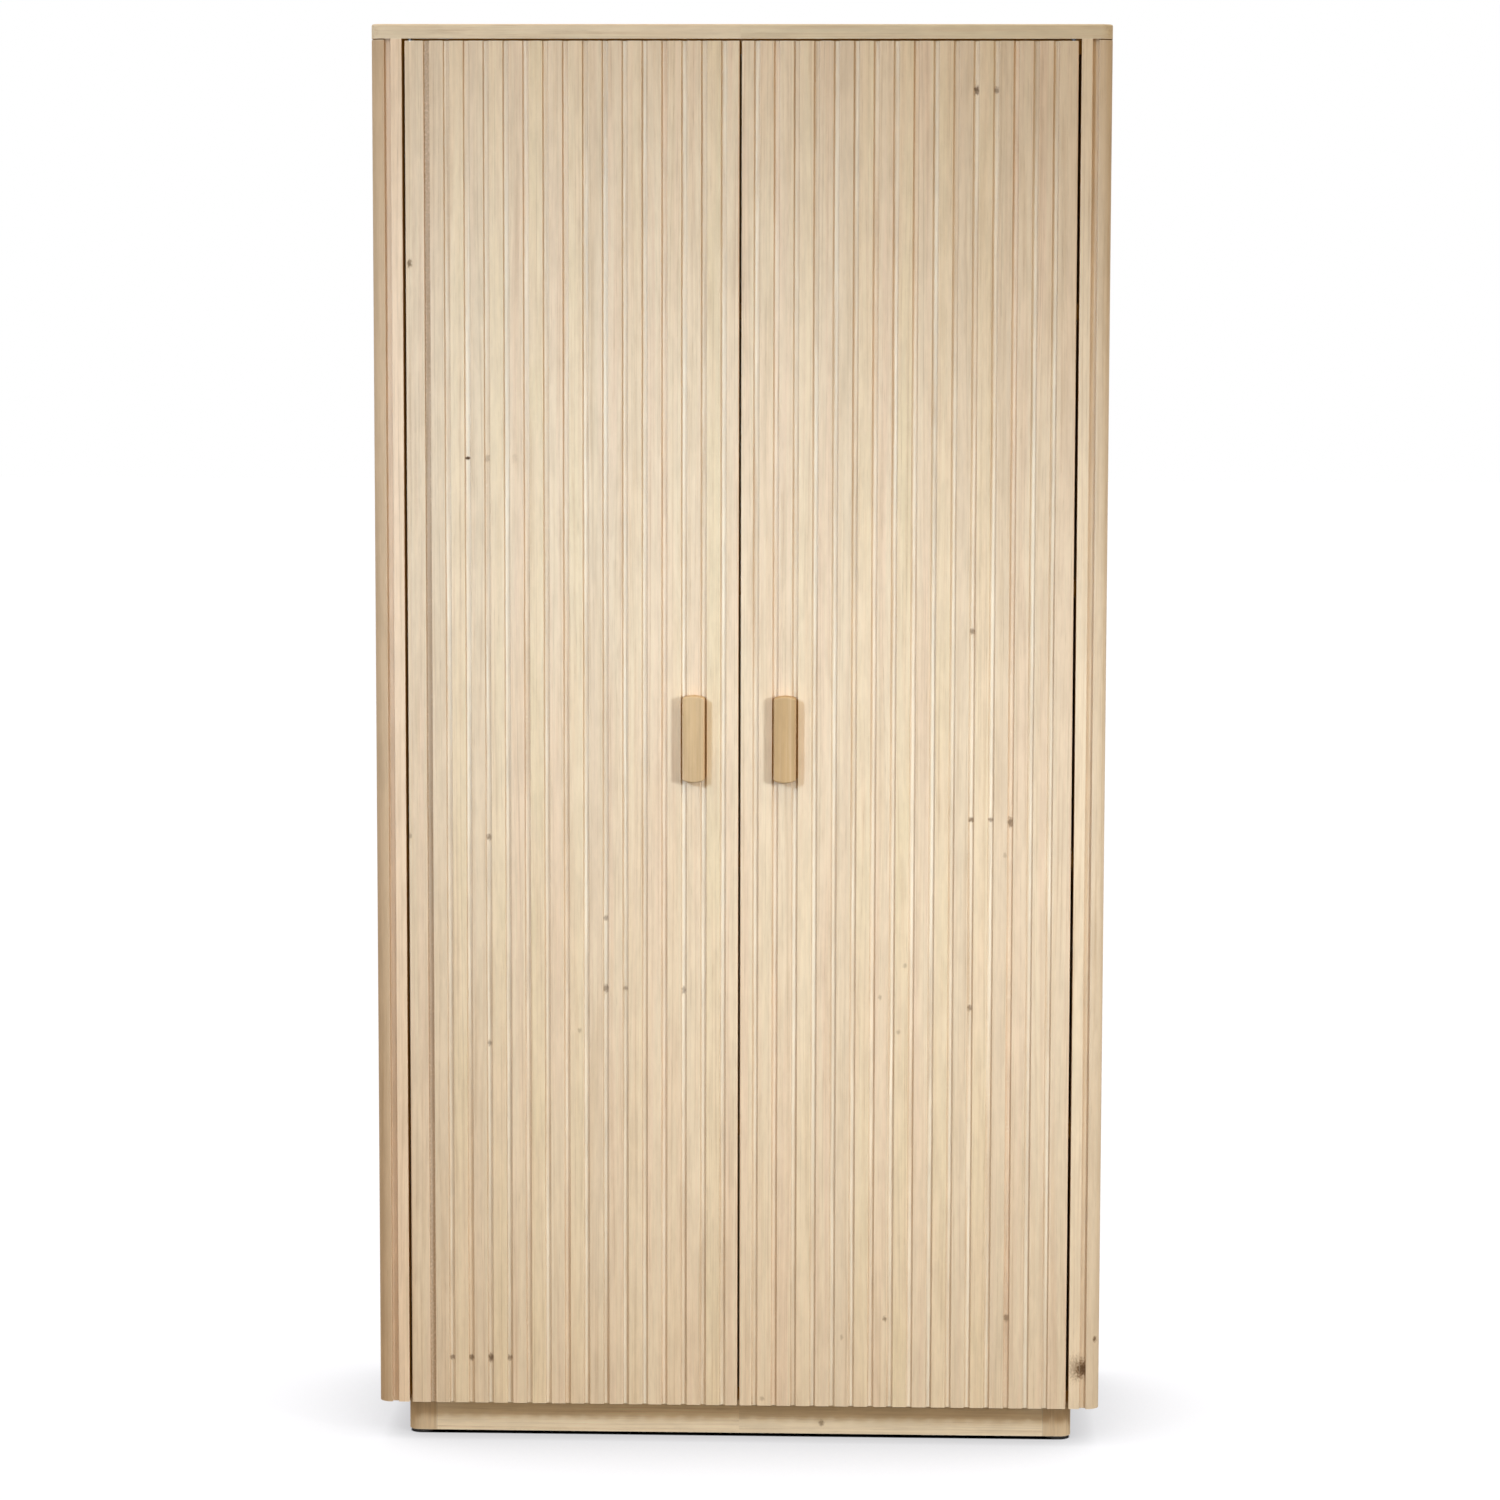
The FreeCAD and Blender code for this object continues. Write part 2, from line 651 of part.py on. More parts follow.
def make_plinth():
    """Boards between rounded corner blocks, standing on glides."""
    thick, high = s.plinth_board_thickness, s.plinth_height
    long_board = block_inner * 2
    node("plinth_front_board", box("plinth_front_board", (-block_inner, plinth_front, s.glide_height),
                                   long_board, thick, high))
    node("plinth_back_board", box("plinth_back_board", (-block_inner, plinth_back - thick, s.glide_height),
                                  long_board, thick, high))
    side_front = plinth_front + s.plinth_block
    side_length = plinth_back - s.plinth_block - side_front
    pair("plinth_board", box("plinth_side_board", (-block_outer, side_front, s.glide_height),
                             thick, side_length, high))
    wide = s.plinth_block
    radius = least(s.plinth_radius, s.plinth_block / 2)
    ends = (("front_plinth_block", plinth_front, (radius, None, None, None)),
            ("rear_plinth_block", plinth_back - wide, (None, None, None, radius)))
    glides = []
    for (name, y, rounds), middle_y, dowel_spot in zip(ends, block_middles_y, plinth_dowel_spots):
        block = prism(f"{name}_blank", (-block_outer, y, s.glide_height), plan(wide, wide, rounds), high)
        foot = (block_middle_x, middle_y, s.glide_height)
        stem_hole = cylinder(f"{name}_stem_hole", moved(foot, "-z", s.overrun),
                             s.glide_stem_radius + s.fit_clearance,
                             s.glide_stem_length + s.overrun + s.fit_clearance)
        hole = dowel_hole(f"{name}_dowel_hole", dowel_spot, "+z", s.dowel_long, s.dowel_short)
        pair(name, cut(f"left_{name}", block, [stem_hole, hole]))
        disc = cylinder(f"{name}_glide_disc", (block_middle_x, middle_y, zero), s.glide_radius, s.glide_height)
        stem = cylinder(f"{name}_glide_stem", foot, s.glide_stem_radius, s.glide_stem_length)
        glides += both(fuse(f"{name}_glide", [disc, stem]))
    node("glides", group("glides", glides))


# Pivot hinges

def bush(name, foot, way):
    """A flanged bush, from the face of its flange into the door."""
    outer = fuse(f"{name}_outer", [cylinder(f"{name}_barrel", foot, s.bush_radius, s.bush_length, way),
                                   cylinder(f"{name}_flange", foot, s.flange_radius, s.flange_thickness, way)])
    bore = cylinder(f"{name}_bore", moved(foot, way, -s.overrun), running_radius,
                    s.bush_length + s.overrun * 2, way)
    return cut(name, outer, [bore])


def bush_hole(name, foot, way):
    ease = s.fit_clearance
    barrel = cylinder(f"{name}_barrel", foot, s.bush_radius + ease, s.bush_length + ease, way)
    flange = cylinder(f"{name}_flange", moved(foot, way, -s.overrun), s.flange_radius + ease,
                      s.flange_thickness + s.overrun, way)
    return fuse(name, [barrel, flange])


top_bush_foot = (axis_x, axis_y, door_top)
bottom_bush_foot = (axis_x, axis_y, rebate_top)


def pivot_hole(name, z, length):
    return cylinder(name, (axis_x, axis_y, z - s.overrun), s.pin_radius + s.fit_clearance,
                    length + s.overrun * 2)


def make_pivots():
    """Plates in the carcass, the pins that they hold, washers and door bushes."""
    thick = s.plate_thickness
    rounds = (s.eye_radius, s.plate_radius, s.plate_radius, s.eye_radius)
    blank = prism("top_plate_blank", (plate_left, plate_front, top_under),
                  plan(s.plate_length, s.plate_width, rounds), thick)
    tools = [pivot_hole("top_plate_eye_hole", top_under, thick)]
    tools += [screw_hole(f"top_plate_screw_hole_{i}", spot, "+z", plate_screw_length)
              for i, spot in enumerate(top_plate_screw_spots)]
    pair("top_pivot_plate", cut("left_top_pivot_plate", blank, tools))

    eye = cylinder("bottom_plate_eye", (axis_x, axis_y, carcass_base), s.eye_radius, thick)
    neck = box("bottom_plate_neck", (axis_x - s.neck_side, axis_y, carcass_base),
               s.neck_side + s.eye_radius, stop_face - axis_y + s.plate_radius, thick)
    rounds = (None, s.plate_radius, s.plate_radius, s.plate_radius)
    blade = prism("bottom_plate_blade", (plate_left, stop_face, carcass_base),
                  plan(s.plate_length, s.plate_body_depth, rounds), thick)
    tools = [pivot_hole("bottom_plate_eye_hole", carcass_base, thick)]
    tools += [screw_hole(f"bottom_plate_screw_hole_{i}", spot, "+z", plate_screw_length)
              for i, spot in enumerate(bottom_plate_screw_spots)]
    pair("bottom_pivot_plate", cut("left_bottom_pivot_plate",
                                   fuse("bottom_plate_blank", [eye, neck, blade]), tools))

    top_pin_length = thick + s.door_top_gap + s.pin_reach
    pair("top_pivot_pin", cylinder("top_pivot_pin", (axis_x, axis_y, door_top - s.pin_reach),
                                   s.pin_radius, top_pin_length))
    bottom_pin_length = rebate_top - carcass_base + s.pin_reach
    pair("bottom_pivot_pin", cylinder("bottom_pivot_pin", (axis_x, axis_y, carcass_base),
                                      s.pin_radius, bottom_pin_length))

    washer_foot = (axis_x, axis_y, carcass_base + thick)
    disc = cylinder("washer_disc", washer_foot, s.eye_radius, s.washer_thickness)
    hole = cylinder("washer_hole", moved(washer_foot, "-z", s.overrun), running_radius,
                    s.washer_thickness + s.overrun * 2)
    node("pivot_washers", group("pivot_washers", both(cut("washer", disc, [hole]))))

    screws = []
    for i, spot in enumerate(top_plate_screw_spots + bottom_plate_screw_spots):
        screws += both(screw(f"pivot_screw_{i}", spot, "+z", plate_screw_length))
    node("pivot_screws", group("pivot_screws", screws))

    pair("door_bushes", group("door_bushes", [bush("top_bush", top_bush_foot, "-z"),
                                              bush("bottom_bush", bottom_bush_foot, "+z")]))


# Doors

def door_hinge_tools(name):
    """What the hinges take out of a door: bush holes, and a rebate over the lower plate."""
    ease = s.recess_clearance
    rebate = box(f"{name}_rebate", (door_hinge_edge - s.overrun, plate_front - ease, carcass_base - s.overrun),
                 s.pivot_inset + s.eye_radius + ease + s.overrun,
                 door_back - plate_front + ease + s.overrun,
                 rebate_top - carcass_base + s.overrun)
    return [rebate, bush_hole(f"{name}_top_bush_hole", top_bush_foot, "-z"),
            bush_hole(f"{name}_bottom_bush_hole", bottom_bush_foot, "+z")]


def handle_screw_holes(name):
    return [screw_hole(f"{name}_screw_hole_{i}", spot, "-y", handle_screw_length)
            for i, spot in enumerate(handle_screw_spots)]


def make_door_panels():
    """The door's core, which carries the slats, bushes, strike and handle."""
    rounds = (None, None, s.arris, s.arris)
    core = prism("door_core", (door_hinge_edge, front + s.slat_thickness, carcass_base),
                 plan(door_width, s.door_core_thickness, rounds), door_height)
    ease = s.fit_clearance
    recess = box("strike_recess", (catch_left - ease, door_back - s.strike_thickness, catch_under - ease),
                 s.catch_length + ease * 2, s.strike_thickness + s.overrun, s.catch_height + ease * 2)
    tools = door_hinge_tools("door_panel") + handle_screw_holes("door_panel") + [recess]
    pair("door_panel", cut("left_door_panel", core, tools))
    pair("strike_plate", box("strike_plate", (catch_left, door_back - s.strike_thickness, catch_under),
                             s.catch_length, s.strike_thickness, s.catch_height))


def make_door_slats():
    """Upright slats on the core: a wide one at the hinge edge, a narrow one at the meeting edge."""
    slats = doc.addObject("PartDesign::Body", "door_slats")
    edge = new_sketch(slats, "edge_slats_plan")
    draw_outline(edge, plan(s.hinge_slat_width, s.slat_thickness, (s.door_arris, s.arris, None, None)))
    draw_outline(edge, plan(s.meeting_slat_width, s.slat_thickness, (s.arris, s.door_arris, None, None),
                            door_width - s.meeting_slat_width))
    pad_sketch(slats, edge, door_height)
    inner = plan(inner_slat_width, s.slat_thickness, (s.arris, s.arris, None, None),
                 s.hinge_slat_width + s.groove_width)
    row_of_slats(slats, "inner_slat", inner, door_height, inner_slat_pitch, inner_slats, "H_Axis")
    place(slats, (door_hinge_edge, front, carcass_base))
    tools = door_hinge_tools("door_slats") + handle_screw_holes("door_slats")
    pair("door_slats", cut("left_door_slats", slats, tools))


def draw_crowned_face(sketch, wide, high, crown, corner):
    """An upright face with straight sides, crowned ends and rounded corners, from its lowest left."""
    half, rise = wide.value / 2, high.value
    big, small = crown.value, corner.value
    low = big - math.sqrt((big - small) ** 2 - (half - small) ** 2)
    lean = math.pi + math.atan2(low - big, small - half)
    turn = math.pi - lean

    def arc(x, y, radius, start, end):
        circle = Part.Circle(FreeCAD.Vector(x, y, 0), FreeCAD.Vector(0, 0, 1), radius)
        return sketch.addGeometry(Part.ArcOfCircle(circle, start, end), False)

    def line(x, start, end):
        return sketch.addGeometry(Part.LineSegment(FreeCAD.Vector(x, start, 0), FreeCAD.Vector(x, end, 0)), False)

    bottom = arc(half, big, big, lean - math.pi, -lean)
    corners = [arc(wide.value - small, low, small, -lean, 0)]
    right = line(wide.value, low, rise - low)
    corners.append(arc(wide.value - small, rise - low, small, 0, lean))
    top = arc(half, rise - big, big, lean, turn)
    corners.append(arc(small, rise - low, small, turn, math.pi))
    left = line(0, rise - low, low)
    corners.append(arc(small, low, small, math.pi, math.pi + lean))
    loop = (bottom, corners[0], right, corners[1], top, corners[2], left, corners[3])
    for i, piece in enumerate(loop):
        sketch.addConstraint(Sketcher.Constraint("Tangent", loop[i - 1], 2, piece, 1))
    hold_line(sketch, left, True, zero)
    hold_line(sketch, right, True, wide)
    for piece, radius in ((bottom, crown), (top, crown), *((piece, corner) for piece in corners)):
        index = sketch.addConstraint(Sketcher.Constraint("Radius", piece, radius.value))
        bind_constraint(sketch, index, radius)
    for kind, piece, size in (("DistanceX", bottom, wide / 2), ("DistanceY", bottom, crown),
                              ("DistanceX", top, wide / 2), ("DistanceY", top, high - crown)):
        index = sketch.addConstraint(Sketcher.Constraint(kind, -1, 1, piece, 3, size.value))
        bind_constraint(sketch, index, size)


def make_door_handles():
    """A block with crowned ends and eased edges, saddled over its slat."""
    body = doc.addObject("PartDesign::Body", "handle_block")
    sketch = new_sketch(body, "handle_face", "XZ_Plane")
    draw_crowned_face(sketch, handle_width, s.handle_height, arc_radius(handle_width, s.handle_crown),
                      s.handle_corner)
    doc.recompute()
    pad = pad_sketch(body, sketch, s.handle_proud + s.slat_thickness - s.handle_toe_gap)
    doc.recompute()
    face = min(range(len(pad.Shape.Faces)), key=lambda i: pad.Shape.Faces[i].CenterOfMass.y)
    eased = body.newObject("PartDesign::Fillet", "handle_eased")
    eased.Base = (pad, [f"Face{face + 1}"])
    bind(eased, "Radius", s.handle_arris)
    body.Tip = eased
    place(body, (handle_x - handle_width / 2, front + s.slat_thickness - s.handle_toe_gap,
                 handle_foot))
    ease = s.saddle_clearance
    saddle = box("handle_saddle", (handle_x - inner_slat_width / 2 - ease, front, handle_foot - s.overrun),
                 inner_slat_width + ease * 2, s.slat_thickness, s.handle_height + s.overrun * 2)
    pair("door_handle", cut("left_door_handle", body, [saddle] + handle_screw_holes("handle")))
    pair("handle_screws", group("handle_screws", [screw(f"handle_screw_{i}", spot, "-y", handle_screw_length)
                                                  for i, spot in enumerate(handle_screw_spots)]))


# Stops and catches

def make_stops():
    """A rail behind the door tops, with magnetic catches under it, and buffers for the doors."""
    rail = box("stop_rail_blank", (-side_inner, stop_face, rail_under), side_inner * 2,
               s.rail_depth, s.rail_height)
    tools = [screw_hole(f"rail_hole_{i}", spot, "+z", rail_screw_length)
             for i, spot in enumerate(rail_screw_spots)]
    for i, spot in enumerate(catch_screw_spots):
        tools += both(screw_hole(f"rail_catch_hole_{i}", spot, "+z", catch_screw_length))
    node("stop_rail", cut("stop_rail", rail, tools))
    node("rail_screws", group("rail_screws", [screw(f"rail_screw_{i}", spot, "+z", rail_screw_length)
                                              for i, spot in enumerate(rail_screw_spots)]))

    rounds = (None, None, s.plate_radius, s.plate_radius)
    case = prism("catch_case", (catch_left, catch_front, catch_under),
                 plan(s.catch_length, s.catch_depth, rounds), s.catch_height)
    pocket = box("magnet_pocket", (magnet_left, catch_front - s.overrun, magnet_under), s.magnet_length,
                 s.magnet_depth + s.overrun, s.magnet_height)
    tools = [screw_hole(f"catch_hole_{i}", spot, "+z", catch_screw_length)
             for i, spot in enumerate(catch_screw_spots)]
    pair("catch", cut("left_catch", case, [pocket] + tools))
    magnet = box("magnet", (magnet_left, catch_front, magnet_under), s.magnet_length,
                 s.magnet_depth, s.magnet_height)
    node("catch_magnets", group("catch_magnets", both(magnet)))
    screws = []
    for i, spot in enumerate(catch_screw_spots):
        screws += both(screw(f"catch_screw_{i}", spot, "+z", catch_screw_length))
    node("catch_screws", group("catch_screws", screws))

    buffer_x = -(s.meeting_gap / 2 + s.buffer_from_meeting)
    buffers = []
    for i, z in enumerate((carcass_base + s.bottom_thickness / 2, rail_under + s.rail_height / 2)):
        buffers += both(cylinder(f"buffer_{i}", (buffer_x, catch_front, z), s.buffer_radius,
                                 s.door_back_gap - s.catch_gap, "+y"))
    node("door_buffers", group("door_buffers", buffers))


make_top_panel()
make_side_panels()
make_side_cladding()
make_bottom_panel()
make_back_panel()
make_dowels()
make_shelves()
make_shelf_supports()
make_plinth()
make_pivots()
make_door_panels()
make_door_slats()
make_door_handles()
make_stops()
doc.recompute()

# Nothing is written unless every object is sound.
failed = [thing.Name for thing in doc.Objects if "Invalid" in thing.State or "Error" in thing.State]
if failed:
    raise RuntimeError(f"failed: {failed}")
for name, thing in parts.items():
    if thing.Shape.isNull() or not thing.Shape.isValid():
        raise RuntimeError(f"{name} has no sound shape")

os.makedirs("parts", exist_ok=True)
for name, thing in parts.items():
    thing.Shape.exportStep(os.path.join("parts", f"{name}.step"))
print(f"{len(parts)} sub-parts written")
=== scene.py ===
"""Oak, fittings, stage and camera for a tall slatted cabinet with two pivot-hung doors.

Laid out as an add-on and run as a script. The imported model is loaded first, then each operator
dresses one group of its pieces.
"""

import math

import bpy
from bpy.props import FloatProperty, FloatVectorProperty, PointerProperty
from bpy.types import Operator, Panel, PropertyGroup
from mathutils import Matrix, Vector


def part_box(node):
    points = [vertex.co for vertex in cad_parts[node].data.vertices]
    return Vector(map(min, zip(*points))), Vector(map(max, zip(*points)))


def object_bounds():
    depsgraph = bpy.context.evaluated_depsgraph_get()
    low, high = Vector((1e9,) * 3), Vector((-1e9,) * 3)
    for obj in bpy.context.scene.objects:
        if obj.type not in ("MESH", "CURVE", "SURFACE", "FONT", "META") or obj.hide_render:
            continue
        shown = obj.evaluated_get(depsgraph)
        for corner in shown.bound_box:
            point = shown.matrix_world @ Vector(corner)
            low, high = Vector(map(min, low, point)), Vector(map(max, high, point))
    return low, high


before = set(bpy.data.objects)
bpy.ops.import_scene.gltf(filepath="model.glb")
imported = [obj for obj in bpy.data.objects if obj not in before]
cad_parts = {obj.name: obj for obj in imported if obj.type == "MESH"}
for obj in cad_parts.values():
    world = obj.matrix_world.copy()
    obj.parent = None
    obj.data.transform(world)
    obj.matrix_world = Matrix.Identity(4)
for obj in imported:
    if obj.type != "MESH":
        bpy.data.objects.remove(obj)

bl_info = {
    "name": "Slatted cabinet",
    "version": (1, 0, 0),
    "blender": (4, 5, 0),
    "location": "View3D > Sidebar > Cabinet",
    "description": "Oak, fittings, stage and camera for a slatted cabinet",
    "category": "Object",
}

CAD_BOX = [list(corner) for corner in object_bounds()]
SIDES = ("left", "right")
LAMP_SETTINGS = ("place", "aim", "power", "tint", "spread")
BLACK = (0.0, 0.0, 0.0, 1.0)
WHITE = (1.0, 1.0, 1.0, 1.0)
SENSOR_WIDTH = 36.0
FLOOR_WIDTH = 60.0

# How near the floor looks for what stands on it: for the painted dark line of shade under an edge, and for
# painted soft shade.
CONTACT_REACH = 0.03
SHADE_REACH = 0.45

# Cells of noise per metre: across the grain, through it and along it.
DRIFT_CELLS = (9.0, 9.0, 1.1)
BAND_CELLS = (85.0, 85.0, 1.7)
STREAK_CELLS = (210.0, 210.0, 4.5)
GROWTH_CELLS = (340.0, 340.0, 2.4)
PORE_CELLS = (1500.0, 1500.0, 26.0)
RAY_CELLS = (150.0, 150.0, 520.0)
MOTTLE_CELLS = (22.0, 22.0, 5.0)
PATCH_CELLS = (70.0, 70.0, 14.0)
BEECH_RAY_CELLS = (900.0, 900.0, 300.0)

# Cells of noise per metre along X, Y and Z. A knot's ragged outline is the same all through the wood.
KNOT_CELLS = (380.0, 0.0, 300.0)
METAL_SPOT_CELLS = (260.0, 260.0, 260.0)
PLATED_CELLS = (900.0, 900.0, 900.0)
TURNED_CELLS = (400.0, 400.0, 5000.0)
MOULD_GRAIN_CELLS = (2600.0, 2600.0, 2600.0)
MOULD_CLOUD_CELLS = (90.0, 90.0, 90.0)

# How much of each mark shows in the oak.
STREAK_SHARE = 0.35
GROWTH_SHARE = 0.34
PORE_SHARE = 0.3
FLECK_SHARE = 0.22
RUBBED_AND_HIGHLIGHT_SHARE = 0.5

# How far the grain leans, how far it shifts from board to board, and a joint's inner and outer edge.
GRAIN_LEAN = 0.02
BOARD_SHIFT = (3.0, 3.0, 5.0)
JOINT_LINE = 0.0002
JOINT_FADE = 0.0007

# Distances that the shape is searched for edges, corners and deep gaps.
EDGE_RADIUS = 0.002
CORNER_REACH = 0.006
GROOVE_CORNER_REACH = 0.0025
METAL_CORNER_REACH = 0.012
GAP_REACH = 0.03

# Heights of the surface's relief, and how far a knot reaches into the wood.
OAK_RELIEF = 0.0004
BEECH_RELIEF = 0.0002
METAL_RELIEF = 0.00005
MOULD_RELIEF = 0.0001
FERRITE_RELIEF = 0.0003
KNOT_REACH = 0.01

# The left door's browner groove, counted from the meeting edge, and how brown it is.
BROWN_GROOVE = 15
BROWN_GROOVE_DEPTH = 0.45

# Knots on the floors of the grooves: door, groove counted from the meeting edge, height above the floor,
# half width, half height and how dark it is.
GROOVE_KNOTS = (
    ("left", 13, 1.401, 0.0048, 0.0026, 1.0),
    ("left", 12, 1.401, 0.0042, 0.0060, 0.35),
    ("left", 12, 0.868, 0.0045, 0.0050, 0.6),
    ("left", 6, 0.754, 0.0040, 0.0045, 0.5),
    ("left", 6, 0.654, 0.0050, 0.0070, 0.6),
    ("left", 5, 0.654, 0.0040, 0.0040, 0.5),
    ("left", 2, 0.652, 0.0035, 0.0060, 0.5),
    ("left", 12, 0.574, 0.0035, 0.0050, 0.5),
    ("left", 14, 0.120, 0.0050, 0.0040, 0.6),
    ("left", 13, 0.120, 0.0050, 0.0050, 0.7),
    ("left", 12, 0.120, 0.0050, 0.0070, 0.8),
    ("left", 11, 0.120, 0.0050, 0.0045, 0.6),
    ("right", 11, 1.910, 0.0050, 0.0070, 0.8),
    ("right", 12, 1.910, 0.0045, 0.0050, 0.6),
    ("right", 11, 1.162, 0.0050, 0.0045, 0.6),
    ("right", 11, 0.897, 0.0050, 0.0040, 0.7),
    ("right", 12, 0.897, 0.0050, 0.0035, 0.6),
    ("right", 13, 0.894, 0.0050, 0.0080, 0.7),
    ("right", 11, 0.630, 0.0045, 0.0050, 0.6),
    ("right", 13, 0.185, 0.0045, 0.0060, 0.6),
)

# Knots on the faces of slats, stile and plinth: place along X, height, half width, half height, darkness.
SLAT_KNOTS = (
    (-0.460, 1.671, 0.0036, 0.0065, 0.75),
    (-0.4645, 0.869, 0.0030, 0.0050, 0.5),
    (-0.314, 1.401, 0.0040, 0.0070, 0.18),
    (-0.225, 0.594, 0.0030, 0.0040, 0.35),
    (0.373, 0.8475, 0.0035, 0.0040, 0.3),
    (0.234, 0.690, 0.0030, 0.0040, 0.35),
    (0.199, 0.6445, 0.0030, 0.0040, 0.35),
    (0.225, 0.595, 0.0030, 0.0040, 0.35),
    (0.208, 0.183, 0.0035, 0.0040, 0.6),
    (0.147, 0.155, 0.0025, 0.0045, 0.35),
    (0.034, 0.065, 0.0040, 0.0040, 0.35),
)
STILE_KNOTS = ((0.4880, 0.112, 0.0100, 0.0140, 0.95), (0.480, 0.114, 0.0125, 0.0200, 0.45))
POST_KNOTS = ((0.506, 0.156, 0.0030, 0.0050, 0.8),)
PLINTH_KNOTS = ((0.118, 0.0205, 0.0040, 0.0050, 0.6),)


def srgb(red, green, blue):
    """A colour written in screen values of 0 to 255, as the linear numbers that sockets take."""
    return tuple(
        part / 12.92 if part <= 0.04045 else ((part + 0.055) / 1.055) ** 2.4
        for part in (red / 255, green / 255, blue / 255)
    )


def colour(title, words, red, green, blue):
    return FloatVectorProperty(name=title, description=words, subtype="COLOR", size=3, min=0, max=1,
                               default=srgb(red, green, blue))


def length(title, words, size):
    return FloatProperty(name=title, description=words, default=size, unit="LENGTH")


def angle(title, words, degrees):
    return FloatProperty(name=title, description=words, default=math.radians(degrees), subtype="ANGLE")


def place(title, words, x, y, z):
    return FloatVectorProperty(name=title, description=words, subtype="XYZ", unit="LENGTH",
                               default=(x, y, z))


class CABINET_PG_oak(PropertyGroup):
    """Colours of the oak and the spacing of its slats and boards."""

    pale: colour("Pale oak", "The lightest wood of the slats", 240, 219, 190)
    warm: colour("Warm oak", "The pinkish wood of the slats", 239, 213, 185)
    grey: colour("Grey oak", "The greenish beige wood of the slats", 232, 212, 178)
    # Painted light: the groove floors are made paler than the slats to lift the shade that falls in the
    # grooves.
    groove: colour("Groove oak", "The clean pale wood on the floors of the grooves", 255, 243, 221)
    streak: colour("Streaks", "Soft thin streaks along the grain", 222, 194, 160)
    # Painted light: the plinth board is made paler than the slats to lift it where it stands back in the
    # cabinet's shade.
    plinth: colour("Plinth oak", "The pale board at the front of the plinth", 254, 233, 201)
    # Greyer wood, made darker as painted shade for the weaker light along the top.
    top: colour("Top oak", "The duller wood of the top panel", 229, 213, 183)
    stile: colour("Stile oak", "The pinkish front edge of the left side", 251, 224, 194)
    # Rubbed wear and a painted highlight: a pale line along each edge stands in for edges catching the
    # lamps.
    rubbed_and_highlighted: colour("Rubbed oak", "Edges rubbed pale by use", 253, 242, 221)
    post: colour("Post oak", "The wood of the right posts", 235, 213, 184)
    block: colour("Block oak", "The browner corner blocks of the plinth", 236, 209, 173)
    # Browner wood, made darker as painted shade on the left side.
    brown: colour("Brown oak", "The browner wood of the left posts", 207, 179, 147)
    # This colour is also used for the painted shade in inner corners.
    dark: colour("Pores", "Open pores and dark growth lines", 184, 150, 112)
    stain: colour("Stain", "The brown wood round a knot", 150, 117, 84)
    knot: colour("Knots", "The heart of a knot", 74, 54, 36)
    crevice: colour("Crevices", "Brown shade deep in the gaps and slits", 158, 112, 62)
    # Painted light: a glow in the deep gaps stands in for the warm light passed between their walls.
    gap_light: colour("Light in the gaps", "Warm light that is passed on between the walls of a gap",
                      52, 34, 4)
    handle_pale: colour("Pale handle oak", "The lighter wood of the handles", 219, 188, 146)
    handle_warm: colour("Warm handle oak", "The darker wood of the handles", 204, 170, 125)
    slat_pitch: length("Slat pitch", "From one door slat to the next", 0.0275)
    first_groove: length("First groove", "From the middle of the cabinet to the centre of the first groove",
                         0.0228)
    side_slat_pitch: length("Side slat pitch", "From one side slat to the next", 0.0279)
    board_width: length("Board width", "Width of the boards that panels are glued up from", 0.092)


class CABINET_PG_fittings(PropertyGroup):
    """Colours of the metal, plastic and rubber fittings."""

    zinc: colour("Zinc", "Zinc plated steel", 205, 206, 208)
    steel: colour("Steel", "Ground steel", 218, 218, 220)
    brass: colour("Brass", "Turned brass", 226, 201, 148)
    plastic: colour("Catch plastic", "Moulded cases of the catches", 236, 233, 226)
    ferrite: colour("Ferrite", "Sintered magnets", 74, 74, 78)
    glide: colour("Glide plastic", "Glides under the plinth", 42, 39, 36)
    rubber: colour("Rubber", "Buffers behind the doors", 226, 224, 216)
    beech: colour("Beech", "Dowels", 222, 200, 170)


